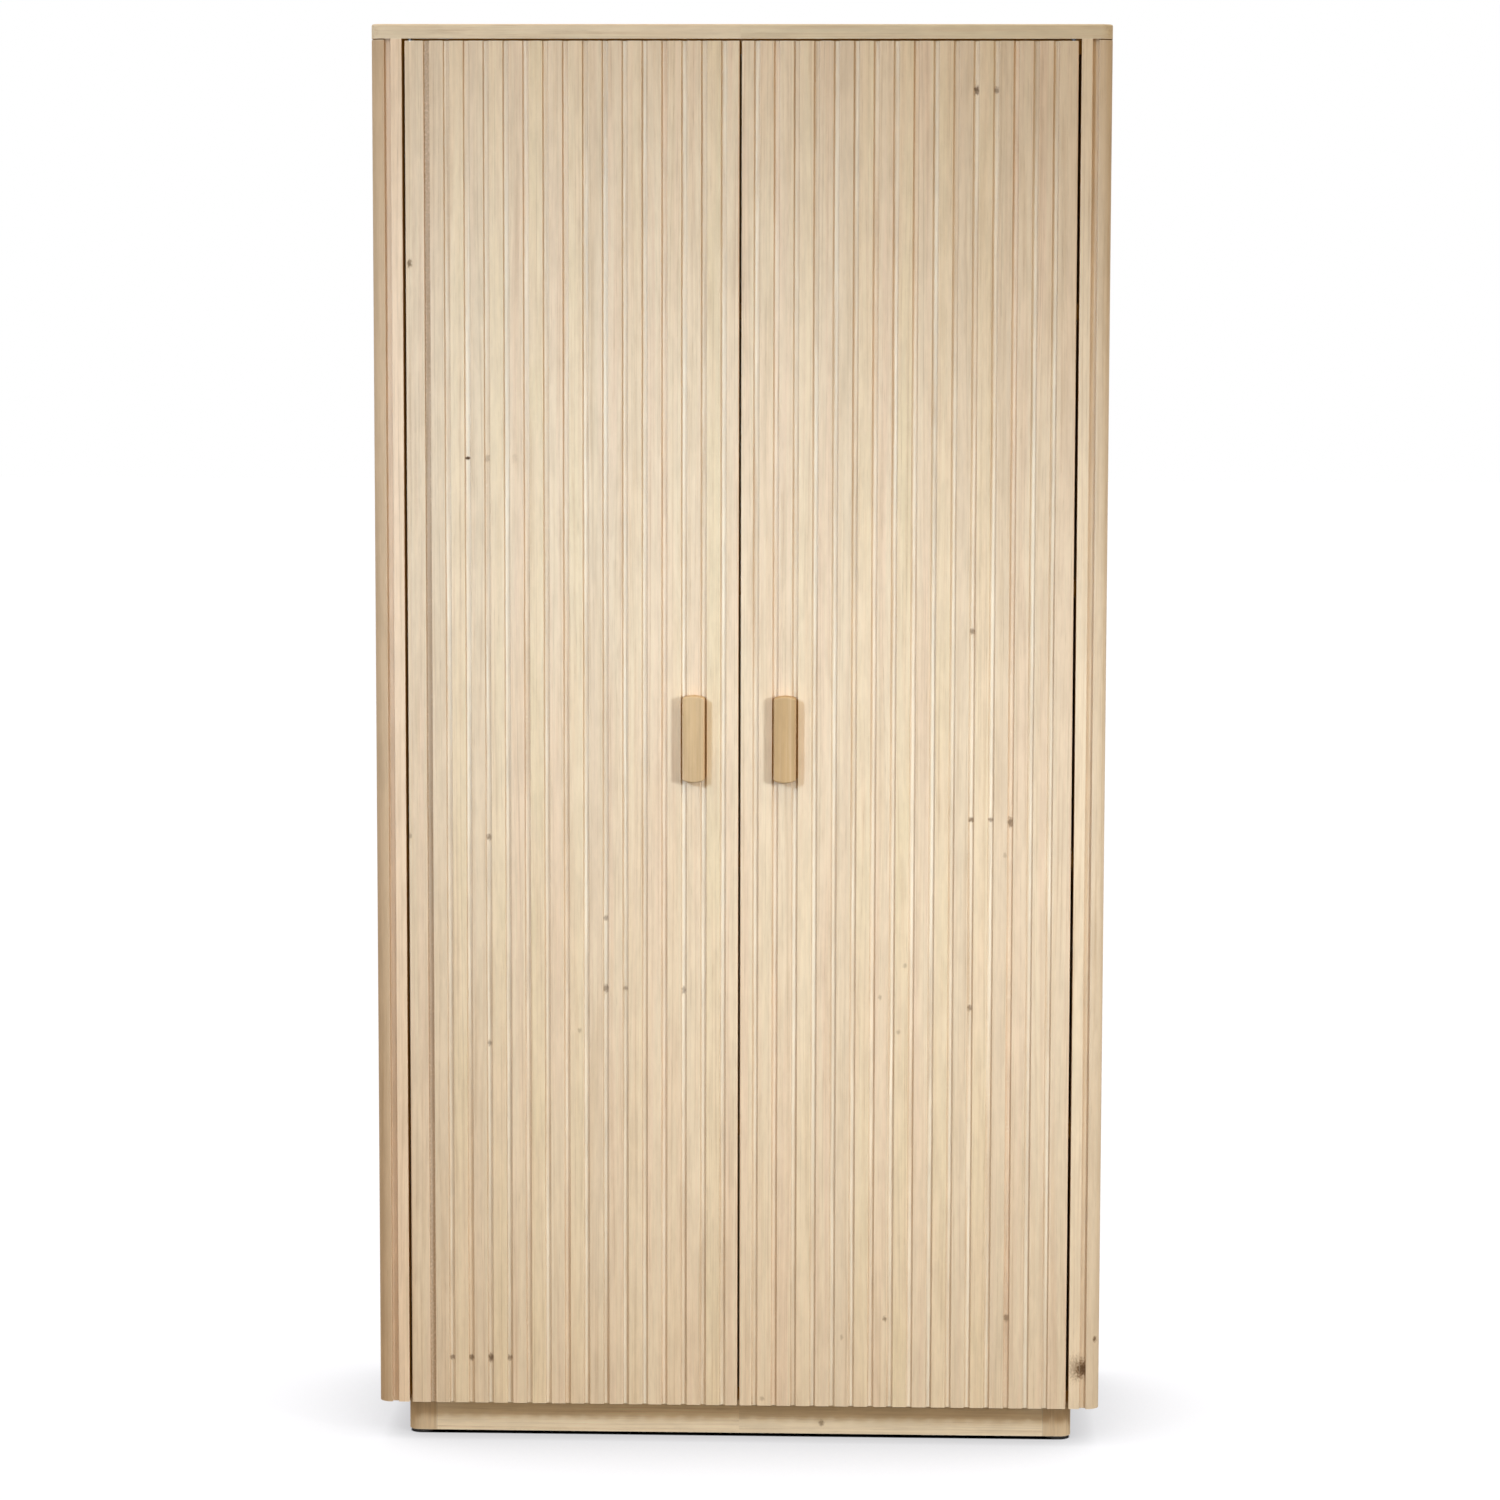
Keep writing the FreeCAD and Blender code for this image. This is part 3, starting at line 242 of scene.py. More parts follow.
class CABINET_PG_stage(PropertyGroup):
    """Camera, lamps and floor."""

    camera_place: place("Camera", "Where the camera stands", 0.2329, -6.3727, 1.6509)
    camera_turn: angle("Turn", "Turn of the camera to the left of straight on", 2.0276)
    camera_tilt: angle("Tilt", "Tilt of the camera below level", 6.0866)
    camera_roll: angle("Roll", "Roll of the camera", 0.1279)
    camera_lens: FloatProperty(name="Lens", description="Focal length on a 36 mm sensor, in millimetres",
                               default=106.07)
    left_power: FloatProperty(name="Left lamp", description="Power of the left lamp", subtype="POWER",
                              default=5.35)
    right_power: FloatProperty(name="Right lamp", description="Power of the right lamp", subtype="POWER",
                               default=7.6)
    left_place: place("Left lamp's place", "From the middle of the cabinet's front to the left lamp",
                      -1.1, -1.79, 0.76)
    right_place: place("Right lamp's place", "From the middle of the cabinet's front to the right lamp",
                       1.35, -1.56, 0.3)
    left_aim: place("Left lamp's aim", "From the middle of the front to what the left lamp faces",
                    0.0, 0.0, 0.33)
    right_aim: place("Right lamp's aim", "From the middle of the front to what the right lamp faces",
                     -0.37, 0.0, -0.8)
    lamp_width: length("Lamp width", "Width of a lamp", 0.2)
    lamp_height: length("Lamp height", "Height of a lamp", 0.35)
    left_spread: angle("Left lamp's spread", "Angle that the left lamp's light spreads over", 81)
    right_spread: angle("Right lamp's spread", "Angle that the right lamp's light spreads over", 93)
    fill: FloatProperty(name="Fill", description="Strength of the even light all round", default=0.92)
    floor: colour("Floor", "Plain pale floor", 94, 90, 84)
    left_tint: colour("Left lamp's tint", "Colour of the left lamp", 191, 223, 255)
    right_tint: colour("Right lamp's tint", "Colour of the right lamp", 230, 244, 255)
    fill_tint: colour("Fill tint", "Colour of the even light in front of the cabinet", 255, 235, 205)
    back_tint: colour("Back tint", "Colour of the even light behind the cabinet", 255, 253, 248)
    floor_lift: FloatProperty(name="Floor lift", default=1.0,
                              description="Light that the floor shows to the camera by itself")
    floor_glow: colour("Floor glow", "Colour of the light that the floor shows by itself", 248, 249, 253)


def oak():
    return bpy.context.scene.cabinet_oak


def fittings():
    return bpy.context.scene.cabinet_fittings


def stage():
    return bpy.context.scene.cabinet_stage


def opaque(linear):
    return (*linear, 1.0)


def dimmed(linear, share):
    return tuple(part * share for part in linear)


class Tree:
    """Adds nodes to one node tree and joins them."""

    def __init__(self, tree):
        self.tree = tree

    def node(self, kind, values=None, **settings):
        made = self.tree.nodes.new(kind)
        for name, value in settings.items():
            setattr(made, name, value)
        for socket, value in (values or {}).items():
            self.feed(made.inputs[socket], value)
        return made

    def feed(self, socket, value):
        if isinstance(value, bpy.types.NodeSocket):
            self.tree.links.new(value, socket)
        else:
            socket.default_value = value

    def math(self, operation, first, second=0.0):
        return self.node("ShaderNodeMath", {0: first, 1: second}, operation=operation).outputs[0]

    def vector(self, operation, first, second=(0, 0, 0)):
        return self.node("ShaderNodeVectorMath", {0: first, 1: second}, operation=operation).outputs[0]

    def measure(self, operation, first, second=(0, 0, 0)):
        """The length of a vector, or the dot product of two."""
        made = self.node("ShaderNodeVectorMath", {0: first, 1: second}, operation=operation)
        return made.outputs["Value"]

    def point(self):
        """The place on the object, in metres."""
        return self.node("ShaderNodeTexCoord").outputs["Object"]

    def open_air(self, reach, samples):
        """How open it is round a place, up to a distance: 1 in the open and 0 deep in a gap."""
        return self.node("ShaderNodeAmbientOcclusion", {"Distance": reach}, samples=samples).outputs["AO"]

    def split(self, vector):
        return self.node("ShaderNodeSeparateXYZ", {0: vector}).outputs

    def join(self, x, y, z):
        return self.node("ShaderNodeCombineXYZ", {0: x, 1: y, 2: z}).outputs[0]

    def fade(self, value, start, end, low=0.0, high=1.0):
        """Low up to start, high from end, and a smooth step between."""
        made = self.node("ShaderNodeMapRange", {"Value": value, "From Min": start, "From Max": end,
                                                "To Min": low, "To Max": high})
        made.interpolation_type = "SMOOTHSTEP"
        return made.outputs["Result"]

    def noise(self, vector, stretch, detail=2.0, roughness=0.5, distortion=0.0):
        """Soft noise, its vector stretched by a scale along each axis."""
        placed = self.vector("MULTIPLY", vector, stretch)
        made = self.node("ShaderNodeTexNoise", {"Vector": placed, "Scale": 1.0, "Detail": detail,
                                                "Roughness": roughness, "Distortion": distortion})
        return made.outputs["Fac"]

    def mix(self, share, first, second, blend="MIX"):
        made = self.node("ShaderNodeMix", data_type="RGBA", blend_type=blend)
        self.feed(made.inputs[0], share)
        self.feed(made.inputs[6], first)
        self.feed(made.inputs[7], second)
        return made.outputs[2]

    def group(self, made_group, values):
        return self.node("ShaderNodeGroup", values, node_tree=made_group).outputs


def shader_group(name, inputs, outputs):
    """A new node group, its builder, its inputs by name and its output node."""
    made = bpy.data.node_groups.new(name, "ShaderNodeTree")
    for title, kind, default in inputs:
        socket = made.interface.new_socket(title, in_out="INPUT", socket_type=f"NodeSocket{kind}")
        if default is not None:
            socket.default_value = default
    for title, kind in outputs:
        made.interface.new_socket(title, in_out="OUTPUT", socket_type=f"NodeSocket{kind}")
    tree = Tree(made)
    return made, tree, tree.node("NodeGroupInput").outputs, tree.node("NodeGroupOutput").inputs


def staves_group():
    """Boards or slats side by side: a tone, a shift of grain and the joints between them."""
    made, tree, given, gives = shader_group(
        "Staves",
        (("Across", "Float", None), ("Width", "Float", 0.1), ("Start", "Float", 0.0),
         ("Seed", "Float", 0.0)),
        (("Tone", "Float"), ("Shade", "Float"), ("Shift", "Vector"), ("Joint", "Float")))
    count = tree.math("DIVIDE", tree.math("SUBTRACT", given["Across"], given["Start"]), given["Width"])
    index = tree.math("ADD", tree.math("FLOOR", count), given["Seed"])
    chance = tree.node("ShaderNodeTexWhiteNoise", {"W": index}, noise_dimensions="1D").outputs
    part = tree.math("FRACT", count)
    edge = tree.math("MINIMUM", part, tree.math("SUBTRACT", 1.0, part))
    tree.feed(gives["Tone"], chance["Value"])
    tree.feed(gives["Shade"], tree.fade(tree.split(chance["Color"])[0], 0.0, 1.0, 0.94, 1.03))
    tree.feed(gives["Shift"], tree.vector("MULTIPLY", chance["Color"], BOARD_SHIFT))
    from_joint = tree.math("MULTIPLY", edge, given["Width"])
    tree.feed(gives["Joint"], tree.fade(from_joint, JOINT_LINE, JOINT_FADE, 1.0, 0.0))
    return made


def oak_group():
    """Straight grained oak, its grain along Z: colour, roughness and height of the brushed surface."""
    made, tree, given, gives = shader_group(
        "Oak",
        (("Vector", "Vector", None), ("Tone", "Float", 0.5), ("Contrast", "Float", 1.0),
         *((title, "Color", None) for title in ("Pale", "Warm", "Grey", "Streak", "Dark"))),
        (("Color", "Color"), ("Roughness", "Float"), ("Height", "Float")))
    straight = given["Vector"]
    drift = tree.noise(straight, DRIFT_CELLS, detail=1.0)
    lean = tree.math("MULTIPLY", tree.math("SUBTRACT", drift, 0.5), GRAIN_LEAN)
    x, y, z = tree.split(straight)
    waved = tree.join(tree.math("ADD", x, lean), y, z)
    bands = tree.noise(waved, BAND_CELLS, detail=3.0, roughness=0.6)
    streaks = tree.noise(waved, STREAK_CELLS, detail=2.0, roughness=0.55)
    growth = tree.noise(waved, GROWTH_CELLS, detail=3.0, roughness=0.55)
    pores = tree.noise(waved, PORE_CELLS, detail=2.0, roughness=0.6)
    patches = tree.noise(waved, PATCH_CELLS, detail=4.0, roughness=0.65)
    rays = tree.noise(straight, RAY_CELLS, detail=1.0)
    mottle = tree.noise(straight, MOTTLE_CELLS, detail=3.0)

    def strength(share):
        return tree.math("MULTIPLY", given["Contrast"], share)

    body = tree.mix(tree.fade(bands, 0.36, 0.66), given["Pale"], given["Warm"])
    greyed = tree.fade(given["Tone"], 0.45, 1.0)
    cast = tree.math("MULTIPLY", greyed, tree.fade(mottle, 0.3, 0.7, 0.45, 1.0))
    body = tree.mix(cast, body, given["Grey"])
    body = tree.mix(tree.fade(given["Tone"], 0.0, 0.4, 0.55, 0.0), body, given["Pale"])
    thin = tree.math("MULTIPLY", tree.fade(streaks, 0.45, 0.7), strength(STREAK_SHARE))
    body = tree.mix(thin, body, given["Streak"])
    late = tree.math("MULTIPLY", tree.fade(growth, 0.5, 0.78), strength(GROWTH_SHARE))
    body = tree.mix(late, body, given["Dark"])
    open_pore = tree.math("MULTIPLY", tree.fade(pores, 0.57, 0.7), tree.fade(growth, 0.35, 0.62, 0.25, 1.0))
    body = tree.mix(tree.math("MULTIPLY", open_pore, strength(PORE_SHARE)), body, given["Dark"])
    fleck = tree.math("MULTIPLY", tree.fade(rays, 0.58, 0.72), FLECK_SHARE)
    body = tree.mix(fleck, body, given["Pale"])
    shade = tree.fade(patches, 0.3, 0.7, 0.94, 1.05)
    body = tree.mix(1.0, body, tree.join(shade, shade, shade), "MULTIPLY")
    tree.feed(gives["Color"], body)
    tree.feed(gives["Roughness"], tree.fade(pores, 0.3, 0.7, 0.6, 0.76))
    raised = tree.math("MULTIPLY", growth, 0.6)
    tree.feed(gives["Height"], tree.math("SUBTRACT", raised, tree.math("MULTIPLY", open_pore, 0.7)))
    return made


def knot_group():
    """One small knot on an upright face: its stain and its heart, by its place and its reach."""
    made, tree, given, gives = shader_group(
        "Knot",
        (("Vector", "Vector", None), ("Centre", "Vector", None), ("Reach", "Vector", None),
         ("Depth", "Float", 1.0)),
        (("Stain", "Float"), ("Heart", "Float")))
    away = tree.vector("DIVIDE", tree.vector("SUBTRACT", given["Vector"], given["Centre"]), given["Reach"])
    x, y, z = tree.split(away)
    shown = tree.math("MULTIPLY", tree.fade(tree.math("ABSOLUTE", y), 0.8, 1.0, 1.0, 0.0), given["Depth"])
    from_centre = tree.measure("LENGTH", tree.join(x, 0.0, z))
    ragged = tree.math("SUBTRACT", tree.noise(given["Vector"], KNOT_CELLS, detail=2.0), 0.5)
    far = tree.math("ADD", from_centre, tree.math("MULTIPLY", ragged, 1.6))
    tree.feed(gives["Stain"], tree.math("MULTIPLY", tree.fade(far, 0.5, 1.3, 0.8, 0.0), shown))
    tree.feed(gives["Heart"], tree.math("MULTIPLY", tree.fade(far, 0.25, 0.85, 0.92, 0.0),
                                        tree.math("MULTIPLY", shown, given["Depth"])))
    return made


def edge_group():
    """Rubbed wear and a painted highlight on edges, and painted shade in corners and deep gaps, found from
    the shape around each point.
    """
    made, tree, given, gives = shader_group(
        "Edges", (("Radius", "Float", EDGE_RADIUS), ("Reach", "Float", CORNER_REACH)),
        (("Rubbed", "Float"), ("Corner", "Float"), ("Deep", "Float")))
    rounded = tree.node("ShaderNodeBevel", {"Radius": given["Radius"]}, samples=4).outputs["Normal"]
    flat = tree.node("ShaderNodeNewGeometry").outputs["Normal"]
    same = tree.measure("DOT_PRODUCT", rounded, flat)
    tree.feed(gives["Rubbed"], tree.fade(same, 0.86, 0.995, 1.0, 0.0))
    # Painted shade in inner corners, found from how open each place is.
    tree.feed(gives["Corner"], tree.fade(tree.open_air(given["Reach"], samples=6), 0.2, 0.8, 1.0, 0.0))
    tree.feed(gives["Deep"], tree.fade(tree.open_air(GAP_REACH, samples=6), 0.1, 0.4, 1.0, 0.0))
    return made


def brushed_group():
    """Fine lines and spots of worked metal: a change of tone, of roughness and of height."""
    made, tree, given, gives = shader_group(
        "Worked metal", (("Vector", "Vector", None), ("Stretch", "Vector", PLATED_CELLS)),
        (("Tone", "Float"), ("Roughness", "Float"), ("Height", "Float")))
    lines = tree.noise(given["Vector"], given["Stretch"], detail=2.0)
    spots = tree.noise(given["Vector"], METAL_SPOT_CELLS, detail=3.0)
    tree.feed(gives["Tone"], tree.fade(spots, 0.3, 0.75, 0.82, 1.0))
    tree.feed(gives["Roughness"], tree.math("ADD", tree.fade(lines, 0.3, 0.7, 0.22, 0.36),
                                            tree.fade(spots, 0.4, 0.7, 0.0, 0.1)))
    tree.feed(gives["Height"], lines)
    return made


def moulded_group():
    """The fine, even grain of a moulded or sintered surface."""
    made, tree, given, gives = shader_group(
        "Moulded", (("Vector", "Vector", None),),
        (("Tone", "Float"), ("Roughness", "Float"), ("Height", "Float")))
    grain = tree.noise(given["Vector"], MOULD_GRAIN_CELLS, detail=2.0)
    cloud = tree.noise(given["Vector"], MOULD_CLOUD_CELLS, detail=2.0)
    tree.feed(gives["Tone"], tree.fade(cloud, 0.3, 0.7, 0.88, 1.0))
    tree.feed(gives["Roughness"], tree.fade(grain, 0.3, 0.7, 0.42, 0.6))
    tree.feed(gives["Height"], grain)
    return made


GROUP_MAKERS = {
    "Staves": staves_group,
    "Oak": oak_group,
    "Knot": knot_group,
    "Edges": edge_group,
    "Worked metal": brushed_group,
    "Moulded": moulded_group,
}


def effect(name):
    """A shared node group, made the first time that it is asked for."""
    return bpy.data.node_groups.get(name) or GROUP_MAKERS[name]()


def blank(name):
    """A new material, its tree builder and its surface shader."""
    material = bpy.data.materials.new(name)
    material.use_nodes = True
    tree = Tree(material.node_tree)
    return material, tree, material.node_tree.nodes["Principled BSDF"].inputs


def bump(tree, height, distance, strength=0.5):
    return tree.node("ShaderNodeBump", {"Height": height, "Distance": distance,
                                        "Strength": strength}).outputs["Normal"]


def oak_material(name, along, across, width, start, seed, tones, contrast=1.0, knots=(), joints=0.0,
                 corner_shade=0.3, corner=CORNER_REACH):
    """Oak with its grain along one axis and its boards or slats laid side by side along another."""
    material, tree, shader = blank(name)
    point = tree.point()
    axes = dict(zip("xyz", tree.split(point)))
    first, second = (axis for axis in "xyz" if axis != along)
    row = axes[across[-1]]
    if across.startswith("mirrored"):
        row = tree.math("ABSOLUTE", row)
    staves = tree.group(effect("Staves"), {"Across": row, "Width": width, "Start": start,
                                           "Seed": tree.math("ADD", tree.math("SIGN", axes["x"]), seed)})
    grain = tree.vector("ADD", tree.join(axes[first], axes[second], axes[along]), staves["Shift"])
    pale, warm, grey = tones
    wood = tree.group(effect("Oak"), {"Vector": grain, "Tone": staves["Tone"], "Contrast": contrast,
                                      "Pale": opaque(pale), "Warm": opaque(warm), "Grey": opaque(grey),
                                      "Streak": opaque(oak().streak), "Dark": opaque(oak().dark)})
    shade = staves["Shade"]
    body = tree.mix(1.0, wood["Color"], tree.join(shade, shade, shade), "MULTIPLY")
    if joints:
        body = tree.mix(tree.math("MULTIPLY", staves["Joint"], joints), body, opaque(oak().dark))
    for centre, reach, depth in knots:
        mark = tree.group(effect("Knot"), {"Vector": point, "Centre": centre, "Reach": reach,
                                           "Depth": depth})
        body = tree.mix(mark["Stain"], body, opaque(oak().stain))
        body = tree.mix(mark["Heart"], body, opaque(oak().knot))
    edges = tree.group(effect("Edges"), {"Reach": corner})
    # Painted highlight mixed with rubbed wear along the edges.
    body = tree.mix(tree.math("MULTIPLY", edges["Rubbed"], RUBBED_AND_HIGHLIGHT_SHARE), body, opaque(oak().rubbed_and_highlighted))
    # Painted shade: inner corners, the groove corners among them, are darkened toward the pore colour.
    body = tree.mix(tree.math("MULTIPLY", edges["Corner"], corner_shade), body, opaque(oak().dark))
    # Painted shade deep in the gaps and slits.
    body = tree.mix(edges["Deep"], body, opaque(oak().crevice))
    tree.feed(shader["Base Color"], body)
    tree.feed(shader["Roughness"], wood["Roughness"])
    # Painted light: the deep gaps glow warm, though they are no lamp.
    tree.feed(shader["Emission Color"], tree.mix(edges["Deep"], BLACK, opaque(oak().gap_light)))
    shader["Emission Strength"].default_value = 1.0
    shader["Specular IOR Level"].default_value = 0.05
    tree.feed(shader["Normal"], bump(tree, wood["Height"], OAK_RELIEF))
    return material


def slat_tones():
    return oak().pale, oak().warm, oak().grey


def post_tones(side):
    """The left posts are browner than the right ones, and darker as painted shade."""
    tone = oak().brown if side == "left" else oak().post
    return (tone,) * 3


def on_front(node, marks, reach=KNOT_REACH):
    """Knots at places along X and heights, which reach in from the front face of a node."""
    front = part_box(node)[0].y
    return [((x, front, height), (wide, reach, high), depth) for x, height, wide, high, depth in marks]


def groove_x(side, groove):
    """The centre of a groove, counted from the meeting edge of its door."""
    x = oak().first_groove + groove * oak().slat_pitch
    return -x if side == "left" else x


def oak_slats():
    return oak_material("oak_slats", "z", "mirrored x", oak().slat_pitch, oak().first_groove, seed=7.0,
                        tones=slat_tones(), knots=on_front("left_door_slats", SLAT_KNOTS))


def oak_core():
    """The door cores, which show as the floors of the grooves, in wood made paler than the slats as painted
    light against the shade in the grooves. The left door's last groove is browner.
    """
    marks = [(groove_x(side, groove), height, wide, high, depth)
             for side, groove, height, wide, high, depth in GROOVE_KNOTS]
    door_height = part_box("left_door_panel")[1].z
    marks.append((groove_x("left", BROWN_GROOVE), door_height / 2, oak().slat_pitch / 4, door_height,
                  BROWN_GROOVE_DEPTH))
    tones = oak().groove, oak().pale, oak().warm
    start = oak().first_groove - oak().slat_pitch / 2
    return oak_material("oak_core", "z", "mirrored x", oak().slat_pitch, start, seed=23.0, tones=tones,
                        knots=on_front("left_door_panel", marks), corner_shade=0.5, corner=GROOVE_CORNER_REACH)


def oak_side_slats():
    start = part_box("left_side_slats")[0].y
    return oak_material("oak_side_slats", "z", "y", oak().side_slat_pitch, start, seed=41.0,
                        tones=slat_tones())


def oak_stiles(side):
    """A side panel, whose front edge shows as a pale strip beside its door. The left one is pinker."""
    tone = oak().stile if side == "left" else oak().pale
    low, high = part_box("right_side_panel")
    marks = on_front("right_side_panel", STILE_KNOTS) if side == "right" else ()
    return oak_material(f"oak_{side}_stiles", "z", "mirrored x", high.x - low.x, low.x, seed=53.0,
                        tones=(tone,) * 3, knots=marks)


def oak_posts(side):
    low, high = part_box("right_front_post")
    marks = on_front("right_front_post", POST_KNOTS, high.y - low.y) if side == "right" else ()
    return oak_material(f"oak_{side}_posts", "z", "mirrored x", high.x - low.x, low.x, seed=59.0,
                        tones=post_tones(side), knots=marks)


def oak_boards(name, along, across, seed, tones, **finish):
    """Oak glued up from boards of one width, counted from the cabinet's low corner."""
    start = CAD_BOX[0]["xyz".index(across)]
    return oak_material(name, along, across, oak().board_width, start, seed, tones, **finish)


def oak_top():
    # The top panel's darker tone is painted shade.
    tones = oak().top, oak().top, oak().post
    return oak_boards("oak_top", "x", "y", seed=71.0, tones=tones, joints=0.35)


def oak_inside():
    return oak_boards("oak_inside", "z", "x", seed=83.0, tones=slat_tones(), contrast=0.8, joints=0.3)


def oak_shelves():
    return oak_boards("oak_shelves", "x", "y", seed=97.0, tones=slat_tones(), contrast=0.8, joints=0.3)


def oak_plinth_long():
    low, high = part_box("plinth_front_board")
    return oak_material("oak_plinth_long", "x", "x", high.x - low.x, low.x, seed=103.0,
                        tones=(oak().plinth,) * 3, contrast=0.9,
                        knots=on_front("plinth_front_board", PLINTH_KNOTS), joints=0.9)


def oak_plinth_deep():
    return oak_boards("oak_plinth_deep", "y", "x", seed=109.0, tones=slat_tones(), contrast=1.2)


def oak_plinth_blocks():
    tones = oak().block, oak().block, oak().post
    return oak_boards("oak_plinth_blocks", "z", "x", seed=113.0, tones=tones, contrast=1.2)


def oak_handle(side):
    """The right handle is a little darker than the left one."""
    first = oak().handle_pale if side == "left" else oak().handle_warm
    tones = first, oak().handle_warm, first
    return oak_boards(f"oak_{side}_handle", "z", "x", seed=127.0, tones=tones, contrast=1.2)


def dowel_beech():
    """Close, pale wood with short rays."""
    material, tree, shader = blank("dowel_beech")
    rays = tree.noise(tree.point(), BEECH_RAY_CELLS, detail=2.0)
    pale = fittings().beech
    body = tree.mix(tree.fade(rays, 0.5, 0.7), opaque(pale), opaque(dimmed(pale, 0.72)))
    tree.feed(shader["Base Color"], body)
    tree.feed(shader["Roughness"], tree.fade(rays, 0.3, 0.7, 0.6, 0.75))
    tree.feed(shader["Normal"], bump(tree, rays, BEECH_RELIEF))
    return material


def metal(name, linear, stretch):
    """Worked metal with painted shade in its corners."""
    material, tree, shader = blank(name)
    worked = tree.group(effect("Worked metal"), {"Vector": tree.point(), "Stretch": stretch})
    body = tree.mix(worked["Tone"], opaque(dimmed(linear, 0.7)), opaque(linear))
    corner = tree.group(effect("Edges"), {"Reach": METAL_CORNER_REACH})["Corner"]
    # Painted shade: the metal is darkened nearly to black in its corners.
    tree.feed(shader["Base Color"], tree.mix(corner, body, opaque(dimmed(linear, 0.08))))
    tree.feed(shader["Roughness"], worked["Roughness"])
    shader["Metallic"].default_value = 1.0
    tree.feed(shader["Normal"], bump(tree, worked["Height"], METAL_RELIEF, strength=0.3))
    return material


def moulding(name, linear, relief=MOULD_RELIEF):
    """Moulded plastic, rubber or sintered ferrite."""
    material, tree, shader = blank(name)
    skin = tree.group(effect("Moulded"), {"Vector": tree.point()})
    tree.feed(shader["Base Color"], tree.mix(skin["Tone"], opaque(dimmed(linear, 0.75)), opaque(linear)))
    tree.feed(shader["Roughness"], skin["Roughness"])
    tree.feed(shader["Normal"], bump(tree, skin["Height"], relief, strength=0.4))
    return material


def dress(material, *nodes):
    """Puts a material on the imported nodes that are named."""
    for name in nodes:
        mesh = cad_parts[name].data
        mesh.materials.clear()
        mesh.materials.append(material)


def both(*names):
    return [f"{side}_{name}" for side in SIDES for name in names]


class CABINET_OT_doors(Operator):
    """Dress the doors: their cores and slats."""

    bl_idname = "cabinet.doors"
    bl_label = "Doors"

    def execute(self, context):
        dress(oak_slats(), *both("door_slats"))
        dress(oak_core(), *both("door_panel"))
        return {"FINISHED"}


class CABINET_OT_handles(Operator):
    """Dress the handles."""

    bl_idname = "cabinet.handles"
    bl_label = "Handles"

    def execute(self, context):
        for side in SIDES:
            dress(oak_handle(side), f"{side}_door_handle")
        return {"FINISHED"}


class CABINET_OT_carcass(Operator):
    """Dress the outside of the carcass: top, sides, posts and cladding."""

    bl_idname = "cabinet.carcass"
    bl_label = "Carcass"

    def execute(self, context):
        dress(oak_top(), "top_panel")
        for side in SIDES:
            dress(oak_stiles(side), f"{side}_side_panel")
            dress(oak_posts(side), f"{side}_front_post", f"{side}_rear_post", f"{side}_side_backing")
        dress(oak_side_slats(), *both("side_slats"))
        return {"FINISHED"}


class CABINET_OT_inside(Operator):
    """Dress the inside: back, bottom, shelves, stop rail and dowels."""

    bl_idname = "cabinet.inside"
    bl_label = "Inside"

    def execute(self, context):
        dress(oak_inside(), "back_panel")
        shelves = {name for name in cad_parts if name.startswith("shelf_")} - {"shelf_supports"}
        dress(oak_shelves(), "bottom_panel", "stop_rail", *sorted(shelves))
        dress(dowel_beech(), "carcass_dowels", "plinth_dowels")
        return {"FINISHED"}


class CABINET_OT_plinth(Operator):
    """Dress the plinth and the glides that it stands on."""

    bl_idname = "cabinet.plinth"
    bl_label = "Plinth"

    def execute(self, context):
        dress(oak_plinth_long(), "plinth_front_board", "plinth_back_board")
        dress(oak_plinth_deep(), *both("plinth_board"))
        dress(oak_plinth_blocks(), *both("front_plinth_block", "rear_plinth_block"))
        dress(moulding("glide_plastic", fittings().glide), "glides")
        return {"FINISHED"}


class CABINET_OT_fittings(Operator):
    """Dress hinges, catches, supports and screws."""

    bl_idname = "cabinet.fittings"
    bl_label = "Fittings"

    def execute(self, context):
        zinc = metal("zinc_steel", fittings().zinc, PLATED_CELLS)
        dress(zinc, "shelf_supports", "rail_screws", "catch_screws", "pivot_screws", "back_screws")
        dress(zinc, *both("handle_screws", "strike_plate", "top_pivot_plate", "bottom_pivot_plate"))
        steel = metal("bright_steel", fittings().steel, TURNED_CELLS)
        dress(steel, *both("top_pivot_pin", "bottom_pivot_pin"))
        brass = metal("bush_brass", fittings().brass, TURNED_CELLS)
        dress(brass, "pivot_washers", *both("door_bushes"))
        dress(moulding("catch_plastic", fittings().plastic), *both("catch"))
        dress(moulding("magnet_ferrite", fittings().ferrite, FERRITE_RELIEF), "catch_magnets")
        dress(moulding("buffer_rubber", fittings().rubber), "door_buffers")
        return {"FINISHED"}


def seen_directly(tree):
    """1 for what the camera, a gloss or a clear piece shows, and 0 for light on its way round the scene."""
    ray = tree.node("ShaderNodeLightPath").outputs
    straight = tree.math("MAXIMUM", ray["Is Camera Ray"], ray["Is Glossy Ray"])
    return tree.math("MAXIMUM", straight, ray["Is Transmission Ray"])


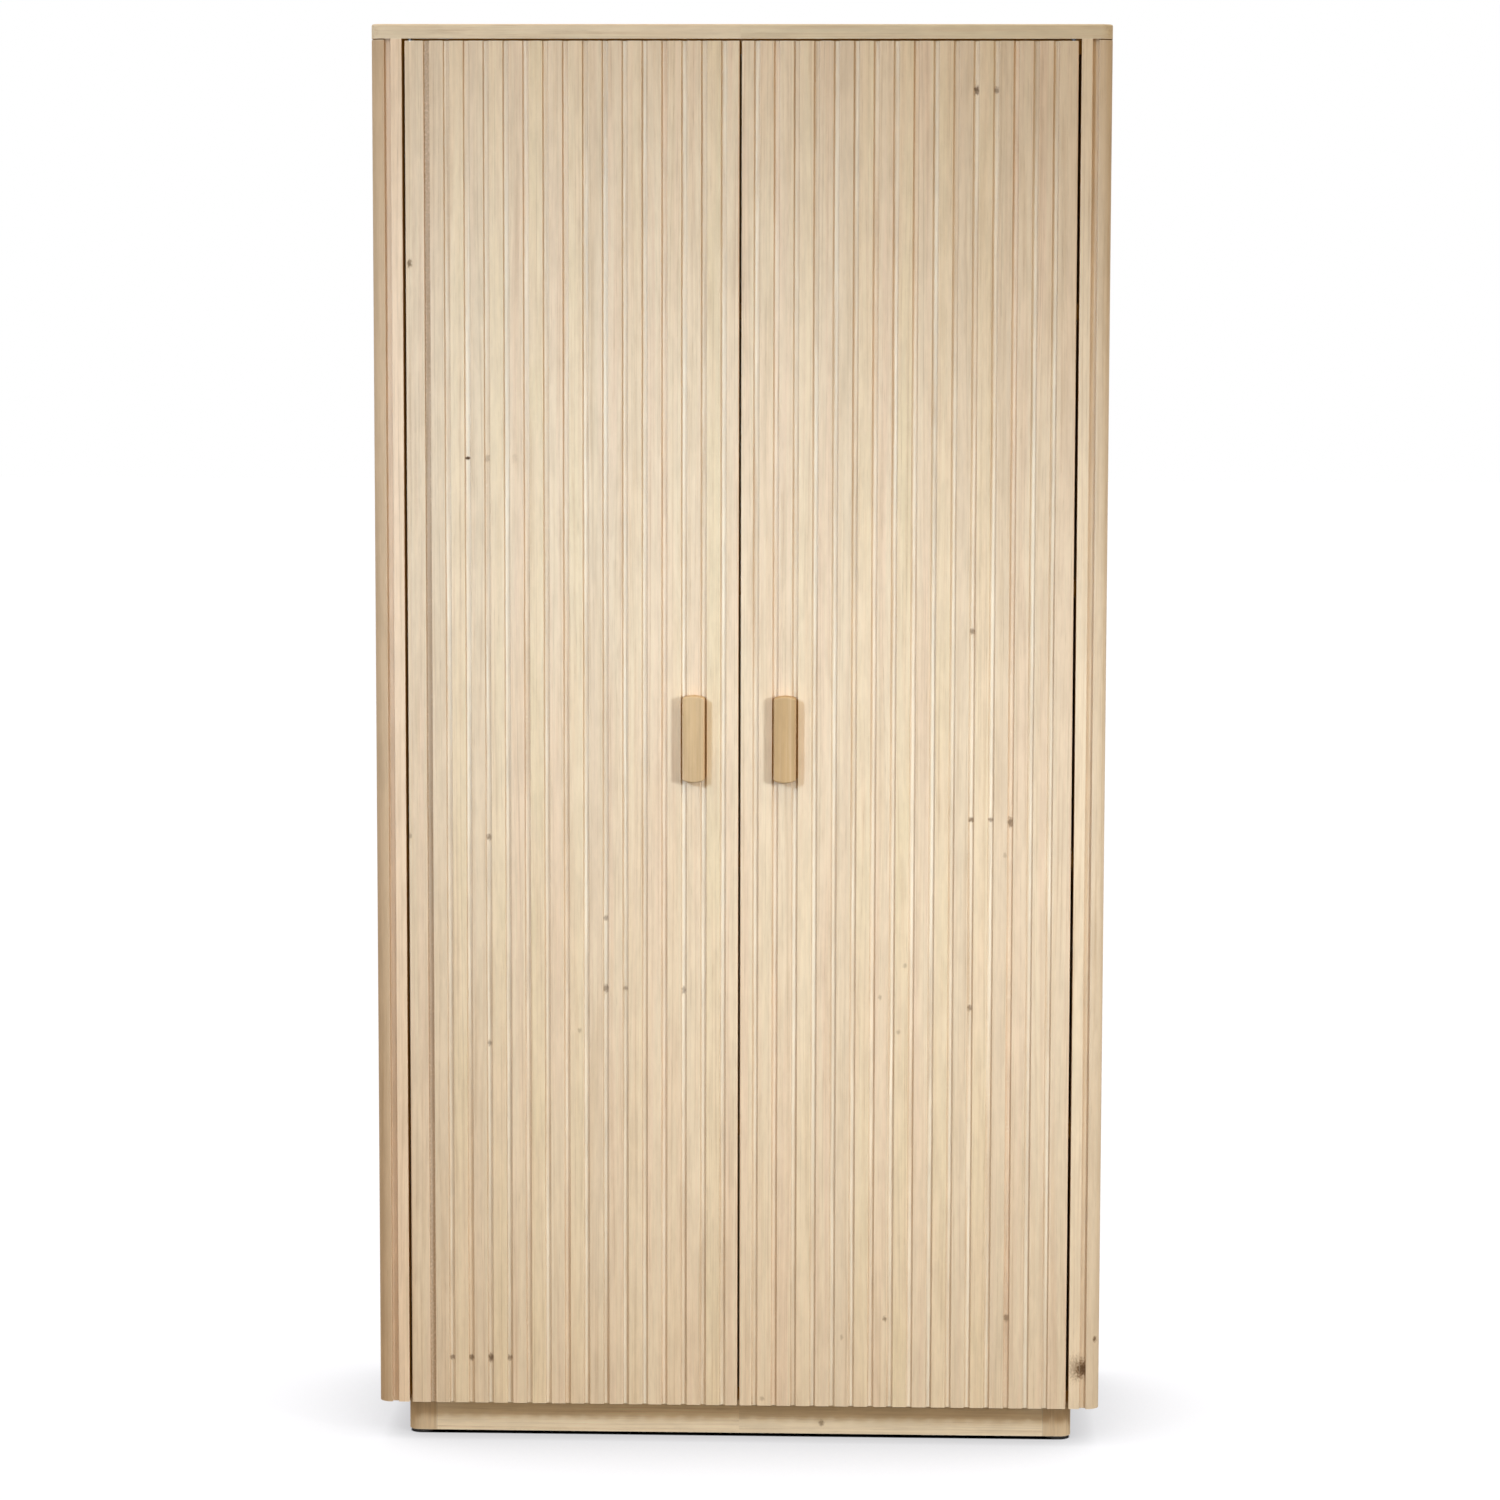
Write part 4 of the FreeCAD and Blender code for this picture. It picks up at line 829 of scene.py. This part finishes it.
def floor_material():
    """A pale floor that shows white to the camera and keeps the cabinet's shadow, with painted shade: black
    under the cabinet's edges and dimmer near it.
    """
    material = bpy.data.materials.new("pale_floor")
    material.use_nodes = True
    tree = Tree(material.node_tree)
    tree.tree.nodes.clear()
    # Painted shadow: the floor's colour goes to black just under the cabinet's edges.
    under = tree.fade(tree.open_air(CONTACT_REACH, samples=16), 0.3, 0.5)
    floor_with_painted_shadow = tree.mix(under, BLACK, opaque(stage().floor))
    matt = tree.node("ShaderNodeBsdfDiffuse", {"Color": floor_with_painted_shadow}).outputs["BSDF"]
    # Painted shade: the floor's glow to the camera dims near the cabinet.
    around = tree.fade(tree.open_air(SHADE_REACH, samples=16), 0.2, 0.9, 0.6, 1.0)
    shown = tree.math("MULTIPLY", tree.math("MULTIPLY", under, around), stage().floor_lift)
    strength = tree.math("MULTIPLY", shown, seen_directly(tree))
    glow = tree.node("ShaderNodeEmission", {"Color": opaque(stage().floor_glow), "Strength": strength})
    surface = tree.node("ShaderNodeAddShader", {0: matt, 1: glow.outputs["Emission"]}).outputs[0]
    tree.node("ShaderNodeOutputMaterial", {"Surface": surface})
    return material


def make_floor():
    mesh = bpy.data.meshes.new("floor")
    far = FLOOR_WIDTH / 2
    corners = [(x * far, y * far, CAD_BOX[0][2]) for x, y in ((-1, -1), (1, -1), (1, 1), (-1, 1))]
    mesh.from_pydata(corners, [], [(0, 1, 2, 3)])
    mesh.materials.append(floor_material())
    floor = bpy.data.objects.new("floor", mesh)
    bpy.context.scene.collection.objects.link(floor)


def make_world():
    """Even light all round, warmer in front than behind, and white to the camera."""
    world = bpy.data.worlds.new("studio")
    bpy.context.scene.world = world
    world.use_nodes = True
    tree = Tree(world.node_tree)
    tree.tree.nodes.clear()
    toward_back = tree.split(tree.node("ShaderNodeTexCoord").outputs["Generated"])[1]
    tint = tree.mix(tree.fade(toward_back, -0.1, 0.2), opaque(stage().fill_tint), opaque(stage().back_tint))
    even = tree.node("ShaderNodeBackground", {"Color": tint, "Strength": stage().fill}).outputs[0]
    shown = tree.node("ShaderNodeBackground", {"Color": WHITE, "Strength": 1.0}).outputs[0]
    chosen = tree.node("ShaderNodeMixShader", {0: seen_directly(tree), 1: even, 2: shown}).outputs[0]
    tree.node("ShaderNodeOutputWorld", {"Surface": chosen})


def make_lamp(name, spot, aim, power, tint, spread):
    """An upright light box that faces the doors."""
    lamp = bpy.data.lights.new(name, "AREA")
    lamp.energy = power
    lamp.color = tint
    lamp.shape = "RECTANGLE"
    lamp.size = stage().lamp_width
    lamp.size_y = stage().lamp_height
    lamp.spread = spread
    holder = bpy.data.objects.new(name, lamp)
    holder.location = spot
    holder.rotation_euler = (aim - spot).to_track_quat("-Z", "Y").to_euler()
    bpy.context.scene.collection.objects.link(holder)


def make_camera():
    camera = bpy.data.cameras.new("camera")
    camera.sensor_width = SENSOR_WIDTH
    camera.lens = stage().camera_lens
    holder = bpy.data.objects.new("camera", camera)
    turned = Matrix.Rotation(stage().camera_turn, 4, "Z")
    tilted = Matrix.Rotation(math.pi / 2 - stage().camera_tilt, 4, "X")
    rolled = Matrix.Rotation(stage().camera_roll, 4, "Z")
    holder.matrix_world = Matrix.Translation(stage().camera_place) @ turned @ tilted @ rolled
    bpy.context.scene.collection.objects.link(holder)
    bpy.context.scene.camera = holder


class CABINET_OT_stage(Operator):
    """Set up the floor, the light and the camera."""

    bl_idname = "cabinet.stage"
    bl_label = "Stage"

    def execute(self, context):
        context.scene.view_settings.view_transform = "Standard"
        make_floor()
        make_world()
        middle = Vector((0.0, CAD_BOX[0][1], (CAD_BOX[0][2] + CAD_BOX[1][2]) / 2))
        for side in SIDES:
            spot, aim, power, tint, spread = (getattr(stage(), f"{side}_{name}") for name in LAMP_SETTINGS)
            make_lamp(f"{side}_lamp", middle + Vector(spot), middle + Vector(aim), power, tint, spread)
        make_camera()
        return {"FINISHED"}


class CABINET_PT_sidebar(Panel):
    """Lists the cabinet's operators."""

    bl_idname = "CABINET_PT_sidebar"
    bl_label = "Cabinet"
    bl_space_type = "VIEW_3D"
    bl_region_type = "UI"
    bl_category = "Cabinet"

    def draw(self, context):
        for operator in OPERATORS:
            self.layout.operator(operator.bl_idname)


OPERATORS = (CABINET_OT_doors, CABINET_OT_handles, CABINET_OT_carcass, CABINET_OT_inside, CABINET_OT_plinth,
             CABINET_OT_fittings, CABINET_OT_stage)
SETTINGS = {"cabinet_oak": CABINET_PG_oak, "cabinet_fittings": CABINET_PG_fittings,
            "cabinet_stage": CABINET_PG_stage}


def register():
    for made in (*SETTINGS.values(), *OPERATORS, CABINET_PT_sidebar):
        bpy.utils.register_class(made)
    for name, made in SETTINGS.items():
        setattr(bpy.types.Scene, name, PointerProperty(type=made))


def unregister():
    for name in SETTINGS:
        delattr(bpy.types.Scene, name)
    for made in (CABINET_PT_sidebar, *reversed(OPERATORS), *reversed(SETTINGS.values())):
        bpy.utils.unregister_class(made)


def main():
    register()
    bpy.ops.cabinet.doors()
    bpy.ops.cabinet.handles()
    bpy.ops.cabinet.carcass()
    bpy.ops.cabinet.inside()
    bpy.ops.cabinet.plinth()
    bpy.ops.cabinet.fittings()
    bpy.ops.cabinet.stage()


if __name__ == "__main__":
    main()
